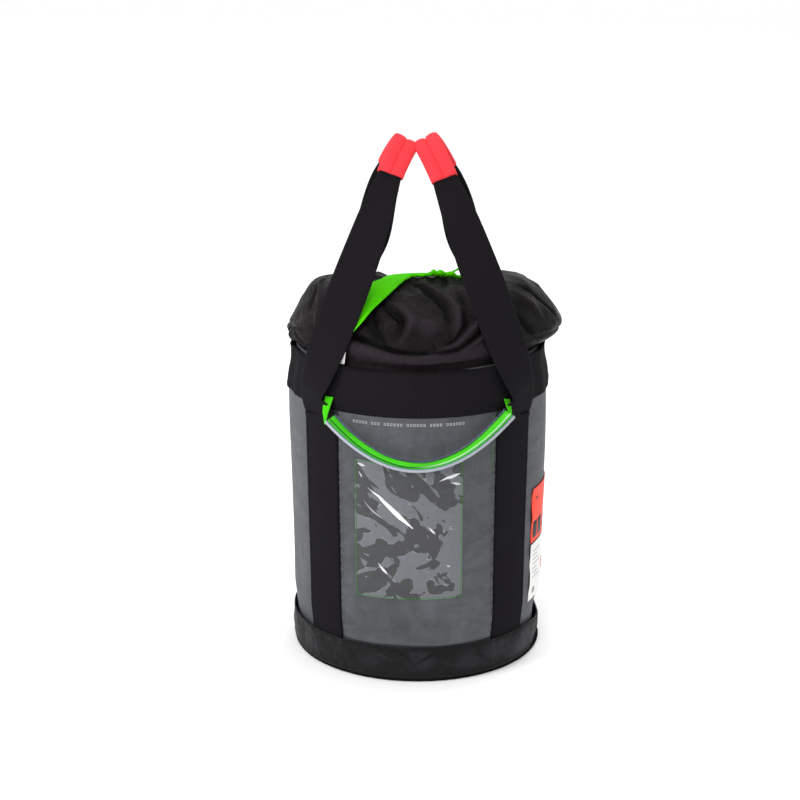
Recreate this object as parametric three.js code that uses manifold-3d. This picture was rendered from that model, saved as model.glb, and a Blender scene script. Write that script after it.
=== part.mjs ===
// Rope storage bag: a soft tarpaulin tube on a padded base, four webbing straps that rise into
// two carrying loops with sleeve grips, a webbing rim band, a gathered hood with a drawcord and
// a clear-hose gear loop across the front. Millimetres, +Z up, origin at the middle of the base.
// The front of the bag faces -Y and an azimuth is measured from the front towards +X.
import * as THREE from "three";
import { mergeVertices } from "three/addons/utils/BufferGeometryUtils.js";
import Module from "manifold-3d";

const wasm = await Module();
wasm.setup();

// Driving dimensions
const GAP = 0.4;
const RING_STEP = 6;
const BASE_HEIGHT = 50;
const BAND_LOW = 378;
const RIM_TOP = 438;
const WALL_THICKNESS = 1.6;
const WEBBING = { width: 60, thickness: 2.5 };
const STRAP_AZIMUTH = 46;
const STRAP_TOP = 371.9;
const LAYER = WEBBING.thickness + 2 * GAP;

// Outer radius of the body tube against height
const BODY_OUTLINE = [
  [0, 168.6],
  [50, 170],
  [85, 174],
  [BAND_LOW, 177.5],
  [RIM_TOP, 170.2],
];

// Drawcord mouth of the hood, a ring that leans back
const MOUTH = { centre: new THREE.Vector3(10, 40, 508), radius: 60, lean: 20 };
const CORD_DIAMETER = 3;

// Barrel lock on the cord's two tails: where it stands, which way the tails run, and heights
// above its underside
const LOCK = { x: 80, y: 34, z: 517, heading: 45, radius: 8.2, bore: 5.8, height: 21.5, cord: 13 };
const BUTTON = { radius: 5.3, low: 9.1, high: 26.5, travel: 3 };

// Gear loop: a clear hose on webbing, hanging in a leaning arc between two anchors
const HOSE = { halfSpan: 112, outer: 9.75, inner: 8.2 };
const LOOP_ARC = { halfChord: 122, endY: -156, endZ: 379, bow: 47, drop: 60 };

const material = (color, roughness, metalness = 0) =>
  new THREE.MeshStandardMaterial({ color, roughness, metalness });

const LOOKS = {
  tarpaulin: material("#62656b", 0.6),
  webbing: material("#262427", 0.85),
  baseFabric: material("#302f32", 0.7),
  nylon: material("#2b282b", 0.55),
  neon: material("#46cd0b", 0.6),
  coral: material("#fd4c53", 0.55),
  film: material("#8e9296", 0.15),
  hose: material("#cfe3d2", 0.2),
  board: material("#1d1d1f", 0.8),
  plastic: material("#1b1b1c", 0.4),
  steel: material("#b8bbc0", 0.3, 1),
  orange: material("#f0503c", 0.5),
  white: material("#efefec", 0.6),
};

const rad = THREE.MathUtils.degToRad;

function at(azimuth, radius, z) {
  const a = rad(azimuth);
  return new THREE.Vector3(radius * Math.sin(a), -radius * Math.cos(a), z);
}

function bodyRadius(z) {
  for (let i = 1; i < BODY_OUTLINE.length; i++) {
    const [z0, r0] = BODY_OUTLINE[i - 1];
    const [z1, r1] = BODY_OUTLINE[i];
    if (z <= z1) return THREE.MathUtils.mapLinear(z, z0, z1, r0, r1);
  }
  return BODY_OUTLINE.at(-1)[1];
}

// Values from low to high that also stop at every mark between them
function stopsBetween(low, high, marks) {
  const inside = marks.filter((mark) => mark > low + 1e-6 && mark < high - 1e-6);
  return [low, ...inside, high];
}

function zStops(low, high) {
  return stopsBetween(low, high, BODY_OUTLINE.map(([z]) => z));
}

function azimuthStops(low, high) {
  const marks = [];
  for (let a = Math.ceil(low / RING_STEP) * RING_STEP; a < high; a += RING_STEP) marks.push(a);
  return stopsBetween(low, high, marks);
}

function fullTurn(step = RING_STEP) {
  return Array.from({ length: 360 / step }, (_, i) => i * step);
}

// A closed geometry from vertices and triangles, wound so that its faces point out
function closedGeometry(vertices, triangles) {
  let volume = 0;
  for (const [a, b, c] of triangles) {
    volume += vertices[a].dot(new THREE.Vector3().crossVectors(vertices[b], vertices[c]));
  }
  const outward = volume > 0 ? triangles : triangles.map(([a, b, c]) => [a, c, b]);
  const geometry = new THREE.BufferGeometry();
  geometry.setFromPoints(vertices);
  geometry.setIndex(outward.flat());
  return geometry;
}

// A skin between an outer and an inner surface over a grid of u and v
function skin({ us, vs, wrap = false, outer, inner }) {
  const vertices = [];
  for (const surface of [outer, inner]) {
    for (const v of vs) {
      for (const u of us) vertices.push(surface(u, v));
    }
  }
  const rowLength = us.length;
  const columns = wrap ? rowLength : rowLength - 1;
  const side = rowLength * vs.length;
  const index = (layer, row, column) => layer * side + row * rowLength + (column % rowLength);
  const triangles = [];
  const quad = (a, b, c, d) => triangles.push([a, b, c], [a, c, d]);
  for (let row = 0; row < vs.length - 1; row++) {
    for (let column = 0; column < columns; column++) {
      const corners = [
        [row, column],
        [row, column + 1],
        [row + 1, column + 1],
        [row + 1, column],
      ];
      quad(...corners.map(([r, c]) => index(0, r, c)));
      quad(...corners.map(([r, c]) => index(1, r, c)).reverse());
    }
  }
  const last = vs.length - 1;
  for (let column = 0; column < columns; column++) {
    quad(index(0, 0, column + 1), index(0, 0, column), index(1, 0, column), index(1, 0, column + 1));
    quad(
      index(0, last, column),
      index(0, last, column + 1),
      index(1, last, column + 1),
      index(1, last, column),
    );
  }
  if (!wrap) {
    for (let row = 0; row < last; row++) {
      quad(index(0, row, 0), index(0, row + 1, 0), index(1, row + 1, 0), index(1, row, 0));
      quad(
        index(0, row + 1, columns),
        index(0, row, columns),
        index(1, row, columns),
        index(1, row + 1, columns),
      );
    }
  }
  return closedGeometry(vertices, triangles);
}

// A solid through a row of convex sections, closed at both ends
function loft(sections) {
  const count = sections[0].length;
  const vertices = sections.flat();
  const triangles = [];
  for (let s = 0; s < sections.length - 1; s++) {
    for (let k = 0; k < count; k++) {
      const next = (k + 1) % count;
      const [a, b] = [s * count + k, s * count + next];
      triangles.push([a, b, b + count], [a, b + count, a + count]);
    }
  }
  const end = (sections.length - 1) * count;
  for (let k = 1; k < count - 1; k++) {
    triangles.push([0, k + 1, k], [end, end + k, end + k + 1]);
  }
  return closedGeometry(vertices, triangles);
}

function tubeAlong(curve, radius, steps, sides = 8) {
  const section = new THREE.Shape();
  for (let k = 0; k < sides; k++) {
    const a = (2 * Math.PI * k) / sides;
    const point = [radius * Math.cos(a), radius * Math.sin(a)];
    if (k === 0) section.moveTo(...point);
    else section.lineTo(...point);
  }
  section.closePath();
  return new THREE.ExtrudeGeometry(section, { steps, extrudePath: curve, curveSegments: sides });
}

function disc(radius, low, high, sides = 60) {
  const geometry = new THREE.CylinderGeometry(radius, radius, high - low, sides);
  geometry.rotateX(Math.PI / 2);
  geometry.translate(0, 0, (low + high) / 2);
  return geometry;
}

// A solid for cutting and joining
function solidOf(geometry) {
  const bare = geometry.clone();
  bare.deleteAttribute("normal");
  bare.deleteAttribute("uv");
  const merged = mergeVertices(bare);
  const mesh = new wasm.Mesh({
    numProp: 3,
    vertProperties: new Float32Array(merged.attributes.position.array),
    triVerts: new Uint32Array(merged.index.array),
  });
  return new wasm.Manifold(mesh);
}

function geometryOf(solid) {
  const mesh = solid.getMesh();
  const geometry = new THREE.BufferGeometry();
  geometry.setAttribute("position", new THREE.BufferAttribute(mesh.vertProperties, 3));
  geometry.setIndex(new THREE.BufferAttribute(mesh.triVerts, 1));
  return geometry;
}

const bag = new THREE.Group();

function add(name, geometry, look) {
  const mesh = new THREE.Mesh(geometry, look.clone());
  mesh.name = name;
  bag.add(mesh);
  return mesh;
}

// A layer of cloth that follows the body tube, from one offset off the tube to another
function bodyLayer({ azimuths, wrap = false, low, high, from, to }) {
  return skin({
    us: azimuths,
    vs: zStops(low, high),
    wrap,
    outer: (a, z) => at(a, bodyRadius(z) + to, z),
    inner: (a, z) => at(a, bodyRadius(z) + from, z),
  });
}

function addBase() {
  const discRadius = bodyRadius(0) - 1.1;
  const pipingRadius = 2.2;
  add("base_disc", disc(discRadius, 0, 2), LOOKS.baseFabric);
  add("base_inner_panel", disc(discRadius - 1, 2 + GAP, 3.6 + GAP), LOOKS.tarpaulin);
  add("base_stiffener", disc(discRadius - 7.5, 4 + GAP, 9), LOOKS.board);
  const piping = new THREE.TorusGeometry(bodyRadius(0) + 2.7, pipingRadius, 6, 60);
  piping.translate(0, 0, pipingRadius + 0.2);
  add("base_piping", piping, LOOKS.webbing);
  const bandOffset = LAYER;
  add(
    "base_band",
    bodyLayer({
      azimuths: fullTurn(),
      wrap: true,
      low: 2 * pipingRadius + 0.2 + GAP,
      high: BASE_HEIGHT,
      from: bandOffset,
      to: bandOffset + 1.8,
    }),
    LOOKS.baseFabric,
  );
}

function addBody() {
  add(
    "body_wall",
    bodyLayer({
      azimuths: fullTurn(),
      wrap: true,
      low: 2 + GAP,
      high: RIM_TOP,
      from: -WALL_THICKNESS,
      to: 0,
    }),
    LOOKS.tarpaulin,
  );
  const halfAngle = THREE.MathUtils.radToDeg(WEBBING.width / 2 / bodyRadius(200));
  const sides = { front_left: -STRAP_AZIMUTH, front_right: STRAP_AZIMUTH };
  sides.back_right = 180 - STRAP_AZIMUTH;
  sides.back_left = STRAP_AZIMUTH - 180;
  for (const [side, azimuth] of Object.entries(sides)) {
    const strap = bodyLayer({
      azimuths: azimuthStops(azimuth - halfAngle, azimuth + halfAngle),
      low: 6,
      high: STRAP_TOP,
      from: GAP,
      to: GAP + WEBBING.thickness,
    });
    add(`strap_${side}`, strap, LOOKS.webbing);
  }
}

function addFrontPocket() {
  const panel = { halfAngle: 35.6, low: BASE_HEIGHT + 1.5, high: BAND_LOW - 1, thickness: 0.8 };
  add(
    "front_panel",
    bodyLayer({
      azimuths: azimuthStops(-panel.halfAngle, panel.halfAngle),
      low: panel.low,
      high: panel.high,
      from: GAP,
      to: GAP + panel.thickness,
    }),
    LOOKS.tarpaulin,
  );
  const windowFrom = 2 * GAP + panel.thickness;
  add(
    "pocket_window",
    bodyLayer({
      azimuths: azimuthStops(-27.4, 19.8),
      low: 122,
      high: 316,
      from: windowFrom,
      to: windowFrom + 0.6,
    }),
    LOOKS.film,
  );
}

function addSideLabels() {
  const label = { from: 62.5, to: 101, thickness: 0.6 };
  const rows = {
    side_label_upper: [166, 245, LOOKS.orange],
    side_label_lower: [79, 163.5, LOOKS.white],
  };
  for (const [name, [low, high, look]] of Object.entries(rows)) {
    const patch = bodyLayer({
      azimuths: azimuthStops(label.from, label.to),
      low,
      high,
      from: GAP,
      to: GAP + label.thickness,
    });
    add(name, patch, look);
  }
}

function addRim() {
  const band = { azimuths: fullTurn(), wrap: true, low: BAND_LOW, high: RIM_TOP };
  add(
    "rim_band",
    bodyLayer({ ...band, from: GAP, to: GAP + WEBBING.thickness }),
    LOOKS.webbing,
  );
  const hoopFace = -WALL_THICKNESS - GAP;
  add(
    "rim_hoop",
    bodyLayer({ ...band, low: 398, high: 412, from: hoopFace - 1.6, to: hoopFace }),
    LOOKS.board,
  );
}

const MOUTH_LEAN = rad(MOUTH.lean);
const MOUTH_NORMAL = new THREE.Vector3(0, Math.sin(MOUTH_LEAN), Math.cos(MOUTH_LEAN));
const MOUTH_FRONT = new THREE.Vector3(0, -Math.cos(MOUTH_LEAN), Math.sin(MOUTH_LEAN));

// A point beside the hood's mouth, by azimuth, radius and height above its plane
function mouthPoint(azimuth, radius, height) {
  const a = rad(azimuth);
  return MOUTH.centre
    .clone()
    .add(new THREE.Vector3(radius * Math.sin(a), 0, 0))
    .addScaledVector(MOUTH_FRONT, radius * Math.cos(a))
    .addScaledVector(MOUTH_NORMAL, height);
}

// The gathered hood bulges between the straps, is pressed in under them, sags to the right and
// falls off towards the back
function hoodPoint(azimuth, t, offset) {
  const lobes = Math.cos(4 * rad(azimuth));
  const sag = Math.max(0, Math.sin(rad(azimuth))) ** 6;
  const backDrop = 60 * Math.max(0, -Math.cos(rad(azimuth))) ** 2;
  const curve = new THREE.CubicBezierCurve3(
    at(azimuth, 167.2, 440),
    at(azimuth, 169 + 12 * lobes + 46 * sag, 470),
    at(azimuth, 141 + 11 * lobes + 42 * sag, 565 - backDrop),
    mouthPoint(azimuth, MOUTH.radius, 0),
  );
  const point = curve.getPoint(t);
  const tangent = curve.getTangent(t);
  const around = at(azimuth + 90, 1, 0);
  const normal = new THREE.Vector3().crossVectors(around, tangent).normalize();
  return point.addScaledVector(normal, offset);
}

function addHood() {
  const thickness = 1.6;
  const tailLow = 425;
  const tailRadius = 167.2;
  const rows = [-1, 0, 0.12, 0.24, 0.38, 0.52, 0.66, 0.8, 0.9, 1];
  const surface = (offset) => (azimuth, t) =>
    t < 0 ? at(azimuth, tailRadius + offset, tailLow) : hoodPoint(azimuth, t, offset);
  const hood = skin({
    us: fullTurn(10),
    vs: rows,
    wrap: true,
    outer: surface(0),
    inner: surface(-thickness),
  });
  add("hood", hood, LOOKS.nylon);

  const flapLow = (azimuth) => THREE.MathUtils.mapLinear(azimuth, -60, -4, 0.52, 0.93);
  const flapRow = (azimuth, v) => THREE.MathUtils.lerp(flapLow(azimuth), 0.97, v);
  const flap = skin({
    us: fullTurn(7).filter((a) => a <= 56).map((a) => a - 60),
    vs: [0, 0.25, 0.5, 0.75, 1],
    outer: (azimuth, v) => hoodPoint(azimuth, flapRow(azimuth, v), 2.2),
    inner: (azimuth, v) => hoodPoint(azimuth, flapRow(azimuth, v), 1),
  });
  add("hood_collar_flap", flap, LOOKS.neon);

  const label = { half: 6, low: RIM_TOP + 2.5, high: RIM_TOP + 19, radius: 168.6, azimuth: -32.5 };
  const careLabel = new THREE.BoxGeometry(2 * label.half, 1, label.high - label.low);
  const careMesh = add("care_label", careLabel, LOOKS.white);
  careMesh.position.copy(at(label.azimuth, label.radius, (label.low + label.high) / 2));
  careMesh.rotation.z = rad(label.azimuth);
}

// Hem channel of the mouth: a U that holds the drawcord and is open upwards
function addMouthHem() {
  const hem = { inner: 50, outer: 58.6, wall: 1.2, height: 7 };
  const profile = [
    [hem.inner, 0],
    [hem.outer, 0],
    [hem.outer, hem.height],
    [hem.outer - hem.wall, hem.height],
    [hem.outer - hem.wall, hem.wall],
    [hem.inner + hem.wall, hem.wall],
    [hem.inner + hem.wall, hem.height],
    [hem.inner, hem.height],
    [hem.inner, 0],
  ].map(([r, h]) => new THREE.Vector2(r, h));
  const mesh = add("hood_hem", new THREE.LatheGeometry(profile, 48), LOOKS.neon);
  mesh.position.copy(MOUTH.centre);
  mesh.quaternion.setFromUnitVectors(new THREE.Vector3(0, 1, 0), MOUTH_NORMAL);
}

// Where the drawcord's two tails run, one either side of the lock's middle
const TAIL_SPACING = 2.6;
const EXIT_AZIMUTH = 60;
const HEADING = rad(LOCK.heading);

function tailPoint(along, side, height) {
  const across = side * TAIL_SPACING;
  return new THREE.Vector3(
    LOCK.x + along * Math.cos(HEADING) - across * Math.sin(HEADING),
    LOCK.y + along * Math.sin(HEADING) + across * Math.cos(HEADING),
    LOCK.z + height,
  );
}

function addDrawcord() {
  const channel = { radius: 54.3, height: 3.4 };
  const tail = (side) => [
    tailPoint(28.5, side * 0.8, 8.5),
    tailPoint(24, side, 11.5),
    tailPoint(19, side, LOCK.cord),
    tailPoint(0, side, LOCK.cord),
    tailPoint(-9, side, LOCK.cord),
    tailPoint(-14, side, 10.5),
    mouthPoint(EXIT_AZIMUTH - side * 7, 61, 13),
    mouthPoint(EXIT_AZIMUTH - side * 14, 55.5, 9),
  ];
  const ring = [];
  const gap = 28;
  for (let azimuth = EXIT_AZIMUTH + gap; azimuth <= 360 + EXIT_AZIMUTH - gap; azimuth += 16) {
    ring.push(mouthPoint(azimuth, channel.radius, channel.height));
  }
  const route = [...tail(-1), ...ring, ...tail(1).reverse()];
  const curve = new THREE.CatmullRomCurve3(route, false, "centripetal");
  add("drawcord", tubeAlong(curve, CORD_DIAMETER / 2, 76), LOOKS.neon);

  const knot = new THREE.SphereGeometry(4.2, 12, 8);
  const knotMesh = add("drawcord_knot", knot, LOOKS.neon);
  knotMesh.position.copy(tailPoint(34, 0, 7.4));
  knotMesh.rotation.z = HEADING;
  knotMesh.scale.set(1, 1.5, 0.95);
}

function upright(radius, low, high, sides = 24) {
  return disc(radius, low, high, sides).translate(LOCK.x, LOCK.y, LOCK.z);
}

function slotBox(halfWidth, low, high) {
  const box = new THREE.BoxGeometry(4 * LOCK.radius, 2 * halfWidth, high - low);
  return box.rotateZ(HEADING).translate(LOCK.x, LOCK.y, LOCK.z + (low + high) / 2);
}

function addCordLock() {
  const floor = 1.6;
  const halfWidth = TAIL_SPACING + CORD_DIAMETER / 2 + GAP;
  const slot = { low: LOCK.cord - 2.5, high: LOCK.cord + 3 };
  const body = solidOf(upright(LOCK.radius, 0, LOCK.height))
    .subtract(solidOf(upright(LOCK.bore, floor, LOCK.height + 1)))
    .subtract(solidOf(slotBox(halfWidth, slot.low, slot.high)));
  add("cord_lock_body", geometryOf(body), LOOKS.plastic);

  const cordTop = LOCK.cord + CORD_DIAMETER / 2;
  const window = { low: slot.low + 0.6, high: cordTop + BUTTON.travel + 1 };
  const button = solidOf(upright(BUTTON.radius, BUTTON.low, BUTTON.high)).subtract(
    solidOf(slotBox(halfWidth, window.low, window.high)),
  );
  add("cord_lock_button", geometryOf(button), LOOKS.plastic);

  const spring = { radius: 3.8, wire: 0.45, turns: 3.5, clearance: 0.8, pointsPerTurn: 10 };
  const low = LOCK.z + floor + spring.clearance;
  const high = LOCK.z + BUTTON.low - spring.clearance;
  const last = spring.turns * spring.pointsPerTurn;
  const points = [];
  for (let i = 0; i <= last; i++) {
    const a = (2 * Math.PI * i) / spring.pointsPerTurn;
    const x = LOCK.x + spring.radius * Math.cos(a);
    const y = LOCK.y + spring.radius * Math.sin(a);
    points.push(new THREE.Vector3(x, y, THREE.MathUtils.lerp(low, high, i / last)));
  }
  const helix = new THREE.CatmullRomCurve3(points);
  add("cord_lock_spring", tubeAlong(helix, spring.wire, 40, 5), LOOKS.steel);
}

// Gear loop -------------------------------------------------------------------------------
function loopPoint(x) {
  const f = 1 - (x / LOOP_ARC.halfChord) ** 2;
  return new THREE.Vector3(x, LOOP_ARC.endY - LOOP_ARC.bow * f, LOOP_ARC.endZ - LOOP_ARC.drop * f);
}

function loopFrame(x) {
  const step = 0.5;
  const along = loopPoint(x + step).sub(loopPoint(x - step)).normalize();
  const across = new THREE.Vector3(0, LOOP_ARC.drop, -LOOP_ARC.bow).normalize();
  return { along, across, out: new THREE.Vector3().crossVectors(along, across) };
}

function addGearLoop() {
  const stations = [];
  const stationCount = 16;
  for (let i = 0; i <= stationCount; i++) {
    stations.push(THREE.MathUtils.lerp(-HOSE.halfSpan, HOSE.halfSpan, i / stationCount));
  }
  const hoseSurface = (radius) => (angle, x) => {
    const { across, out } = loopFrame(x);
    return loopPoint(x)
      .addScaledVector(out, radius * Math.cos(rad(angle)))
      .addScaledVector(across, radius * Math.sin(rad(angle)));
  };
  const hose = skin({
    us: fullTurn(30),
    vs: stations,
    wrap: true,
    outer: hoseSurface(HOSE.outer),
    inner: hoseSurface(HOSE.inner),
  });
  add("gear_loop_hose", hose, LOOKS.hose);

  const half = { width: 5.6, thickness: 1.6 };
  const section = (centre, across, out) =>
    [
      [1, 1],
      [1, -1],
      [-1, -1],
      [-1, 1],
    ].map(([i, j]) =>
      centre
        .clone()
        .addScaledVector(across, i * half.width)
        .addScaledVector(out, j * half.thickness),
    );
  const endSection = (side, x, y, z) =>
    section(
      new THREE.Vector3(side * x, y, z),
      new THREE.Vector3(side * 0.8, 0, 0.6),
      new THREE.Vector3(0, 1, 0),
    );
  const inside = stations.map((x) => {
    const { across, out } = loopFrame(x);
    return section(loopPoint(x), across, out);
  });
  const webbing = [
    endSection(-1, 105, -152.5, 387.5),
    endSection(-1, 111, -157, 380),
    ...inside,
    endSection(1, 111, -157, 380),
    endSection(1, 105, -152.5, 387.5),
  ];
  add("gear_loop_webbing", loft(webbing), LOOKS.neon);

  const anchor = { low: 381, high: 396, near: 31, far: 35.5 };
  for (const [side, sign] of [
    ["left", -1],
    ["right", 1],
  ]) {
    const [low, high] = [sign * anchor.near, sign * anchor.far].sort((p, q) => p - q);
    const tab = bodyLayer({
      azimuths: [low, high],
      low: anchor.low,
      high: anchor.high,
      from: WEBBING.thickness + 2 * GAP,
      to: WEBBING.thickness + 2 * GAP + 1.4,
    });
    add(`loop_anchor_${side}`, tab, LOOKS.neon);
  }
}

// Handles ---------------------------------------------------------------------------------
// Half of the left loop, from its root at the front to the top: centre of the webbing, half of
// its width and thickness, how far the width turns from +X towards the front, how far it
// leans down towards the middle of the bag, and how much closer to the middle the back half is.
function handleHalf() {
  const root = (z, radius) => at(-STRAP_AZIMUTH, radius, z);
  const clearOfRim = bodyRadius(BAND_LOW) + LAYER + WEBBING.thickness / 2;
  const flat = [WEBBING.width / 2, WEBBING.thickness / 2];
  const folded = [12.4, 3.5];
  const row = (centre, [width, thickness], turn, lean, inset = 0) => ({
    centre,
    width,
    thickness,
    turn,
    lean,
    inset,
  });
  const point = (x, y, z) => new THREE.Vector3(x, y, z);
  return [
    row(root(STRAP_TOP + GAP, clearOfRim), flat, 46, 0),
    row(root(377, 182.6), flat, 46, 0),
    row(root(384, 184.4), flat, 46, 0),
    row(point(-138, -131, 397), flat, 52, 4),
    row(point(-130, -129, 428), flat, 46, 12),
    row(point(-118, -124, 462), flat, 38, 18, 4),
    row(point(-98, -112, 514), flat, 33, 20, 14),
    row(point(-83, -100, 553), flat, 30, 20, 17),
    row(point(-61, -76, 610), [27, 1.5], 27, 20, 7),
    row(point(-46, -52, 650), [19, 2.4], 16, 22, 1),
    row(point(-34.5, -32, 677), folded, 8, 25),
    row(point(-24, -17, 695), folded, 4, 27),
    row(point(-17.5, -5, 704.5), folded, 0, 28),
  ];
}

// Rows of both halves in one list, front to back, for the left (-1) or right (+1) side
function handleRows(side) {
  const front = handleHalf();
  const back = front.toReversed().map((row) => {
    const { x, y, z } = row.centre;
    return { ...row, centre: new THREE.Vector3(x + row.inset, -y, z), turn: -row.turn };
  });
  return [...front, ...back].map((row) => {
    const centre = row.centre.clone().setX(-side * row.centre.x);
    return { ...row, centre };
  });
}

function handleFrames(side) {
  const rows = handleRows(side);
  return rows.map((row, i) => {
    const before = rows[Math.max(0, i - 1)].centre;
    const after = rows[Math.min(rows.length - 1, i + 1)].centre;
    const atRoot = i < 3 || i > rows.length - 4;
    const up = new THREE.Vector3(0, 0, i < 3 ? 1 : -1);
    const along = atRoot ? up : after.clone().sub(before).normalize();
    const [turn, lean] = [rad(row.turn), rad(row.lean)];
    const across = new THREE.Vector3(
      -side * Math.cos(turn) * Math.cos(lean),
      -Math.sin(turn),
      -Math.cos(turn) * Math.sin(lean),
    );
    across.addScaledVector(along, -across.dot(along)).normalize();
    const out = new THREE.Vector3().crossVectors(along, across);
    return { ...row, along, across, out };
  });
}

function addHandle(name, side) {
  const frames = handleFrames(side);
  const corner = (frame, i, j) =>
    frame.centre
      .clone()
      .addScaledVector(frame.across, i)
      .addScaledVector(frame.out, j);
  const webbing = frames.map((frame) => [
    corner(frame, frame.width, frame.thickness),
    corner(frame, frame.width, -frame.thickness),
    corner(frame, -frame.width, -frame.thickness),
    corner(frame, -frame.width, frame.thickness),
  ]);
  add(`${name}_webbing`, loft(webbing), LOOKS.webbing);

  const sleeveFrames = frames.filter((frame) => frame.centre.z > 670);
  const outline = (width, thickness) => {
    const [flatWidth, flatHeight] = [width * 0.72, thickness * 0.45];
    return [
      [flatWidth, thickness],
      [width, flatHeight],
      [width, -flatHeight],
      [flatWidth, -thickness],
      [-flatWidth, -thickness],
      [-width, -flatHeight],
      [-width, flatHeight],
      [-flatWidth, thickness],
    ];
  };
  const sleeveSurface = (points) => (k, row) => corner(sleeveFrames[row], ...points[k]);
  const sleeve = skin({
    us: outline(1, 1).keys().toArray(),
    vs: sleeveFrames.keys().toArray(),
    wrap: true,
    outer: sleeveSurface(outline(16, 6.8)),
    inner: sleeveSurface(outline(14.8, 5.6)),
  });
  add(`${name}_grip`, sleeve, LOOKS.coral);
}

addBase();
addBody();
addFrontPocket();
addSideLabels();
addRim();
addHood();
addMouthHem();
addDrawcord();
addCordLock();
addGearLoop();
addHandle("left_handle", -1);
addHandle("right_handle", 1);

export default bag;
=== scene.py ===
"""Looks of the rope storage bag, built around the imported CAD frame.

Lengths in this script are millimetres until a mesh is made, where they become metres.
The front of the bag faces -Y, and an azimuth is measured from the front towards +X, in degrees.
"""
import math

import bpy
import numpy as np
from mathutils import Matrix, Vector


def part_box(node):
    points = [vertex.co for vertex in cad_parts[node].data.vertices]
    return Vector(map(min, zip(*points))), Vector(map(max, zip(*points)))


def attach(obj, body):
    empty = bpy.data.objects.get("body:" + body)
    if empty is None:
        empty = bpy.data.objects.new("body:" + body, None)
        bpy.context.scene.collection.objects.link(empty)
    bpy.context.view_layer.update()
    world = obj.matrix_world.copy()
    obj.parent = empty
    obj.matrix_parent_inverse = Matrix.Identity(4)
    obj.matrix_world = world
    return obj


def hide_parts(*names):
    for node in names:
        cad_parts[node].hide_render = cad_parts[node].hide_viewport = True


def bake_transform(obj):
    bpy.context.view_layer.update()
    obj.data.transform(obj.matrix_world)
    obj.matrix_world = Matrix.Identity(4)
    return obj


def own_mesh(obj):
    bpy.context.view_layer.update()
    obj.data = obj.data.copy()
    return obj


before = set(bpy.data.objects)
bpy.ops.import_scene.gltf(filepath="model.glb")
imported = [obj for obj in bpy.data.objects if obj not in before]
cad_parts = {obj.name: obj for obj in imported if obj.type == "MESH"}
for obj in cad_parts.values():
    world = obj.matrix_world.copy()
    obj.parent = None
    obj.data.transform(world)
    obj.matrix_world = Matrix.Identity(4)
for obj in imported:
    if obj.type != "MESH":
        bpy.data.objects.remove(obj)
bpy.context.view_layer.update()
MM = 0.001


def node_span(node):
    """Lowest and highest corner of a CAD node in millimetres."""
    low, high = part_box(node)
    return np.array(low) / MM, np.array(high) / MM


# ---------------------------------------------------------------- camera, light and floor
TARGET = Vector((0, 0, 0.3))
CAMERA_DISTANCE = 3.0
CAMERA_ELEVATION = math.radians(18.2)
FIELD_OF_VIEW = math.radians(21.06)
AIM_RIGHT, AIM_UP = -0.0243, 0.0449


def make_camera():
    back = Vector((0, -math.cos(CAMERA_ELEVATION), math.sin(CAMERA_ELEVATION)))
    up = Vector((0, math.sin(CAMERA_ELEVATION), math.cos(CAMERA_ELEVATION)))
    place = TARGET + back * CAMERA_DISTANCE
    aim = TARGET + Vector((AIM_RIGHT, 0, 0)) + up * AIM_UP
    data = bpy.data.cameras.new("camera")
    data.sensor_fit = "HORIZONTAL"
    data.angle = FIELD_OF_VIEW
    camera = bpy.data.objects.new("camera", data)
    camera.location = place
    camera.rotation_euler = (aim - place).to_track_quat("-Z", "Y").to_euler()
    bpy.context.scene.collection.objects.link(camera)
    bpy.context.scene.camera = camera


def area_light(name, place, aim, size, power):
    data = bpy.data.lights.new(name, "AREA")
    data.shape = "RECTANGLE"
    data.size, data.size_y = size
    data.energy = power
    lamp = bpy.data.objects.new(name, data)
    lamp.location = place
    lamp.rotation_euler = (Vector(aim) - Vector(place)).to_track_quat("-Z", "Y").to_euler()
    bpy.context.scene.collection.objects.link(lamp)


def make_studio():
    scene = bpy.context.scene
    scene.view_settings.view_transform = "Standard"
    world = bpy.data.worlds.new("studio")
    world.use_nodes = True
    sky = world.node_tree.nodes["Background"]
    sky.inputs["Color"].default_value = (1, 1, 1, 1)
    sky.inputs["Strength"].default_value = 1.0
    scene.world = world
    middle = (0, 0, 0.35)
    area_light("key", (-2.6, -1.7, 1.9), middle, (1.2, 1.4), 52)
    area_light("front", (-0.7, -3.2, 2.2), middle, (0.9, 0.9), 26)
    area_light("top", (0.5, 0.9, 2.6), middle, (1.2, 1.2), 22)
    bpy.ops.mesh.primitive_plane_add(size=14, location=(0, 0, -0.0006))
    floor = bpy.context.object
    floor.name = "studio_floor"
    look = bpy.data.materials.new("floor_pale")
    look.use_nodes = True
    shader = look.node_tree.nodes["Principled BSDF"]
    shader.inputs["Base Color"].default_value = (0.985, 0.985, 0.985, 1)
    shader.inputs["Roughness"].default_value = 0.9
    shader.inputs["Specular IOR Level"].default_value = 0.1
    floor.data.materials.append(look)


make_camera()
make_studio()


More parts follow.
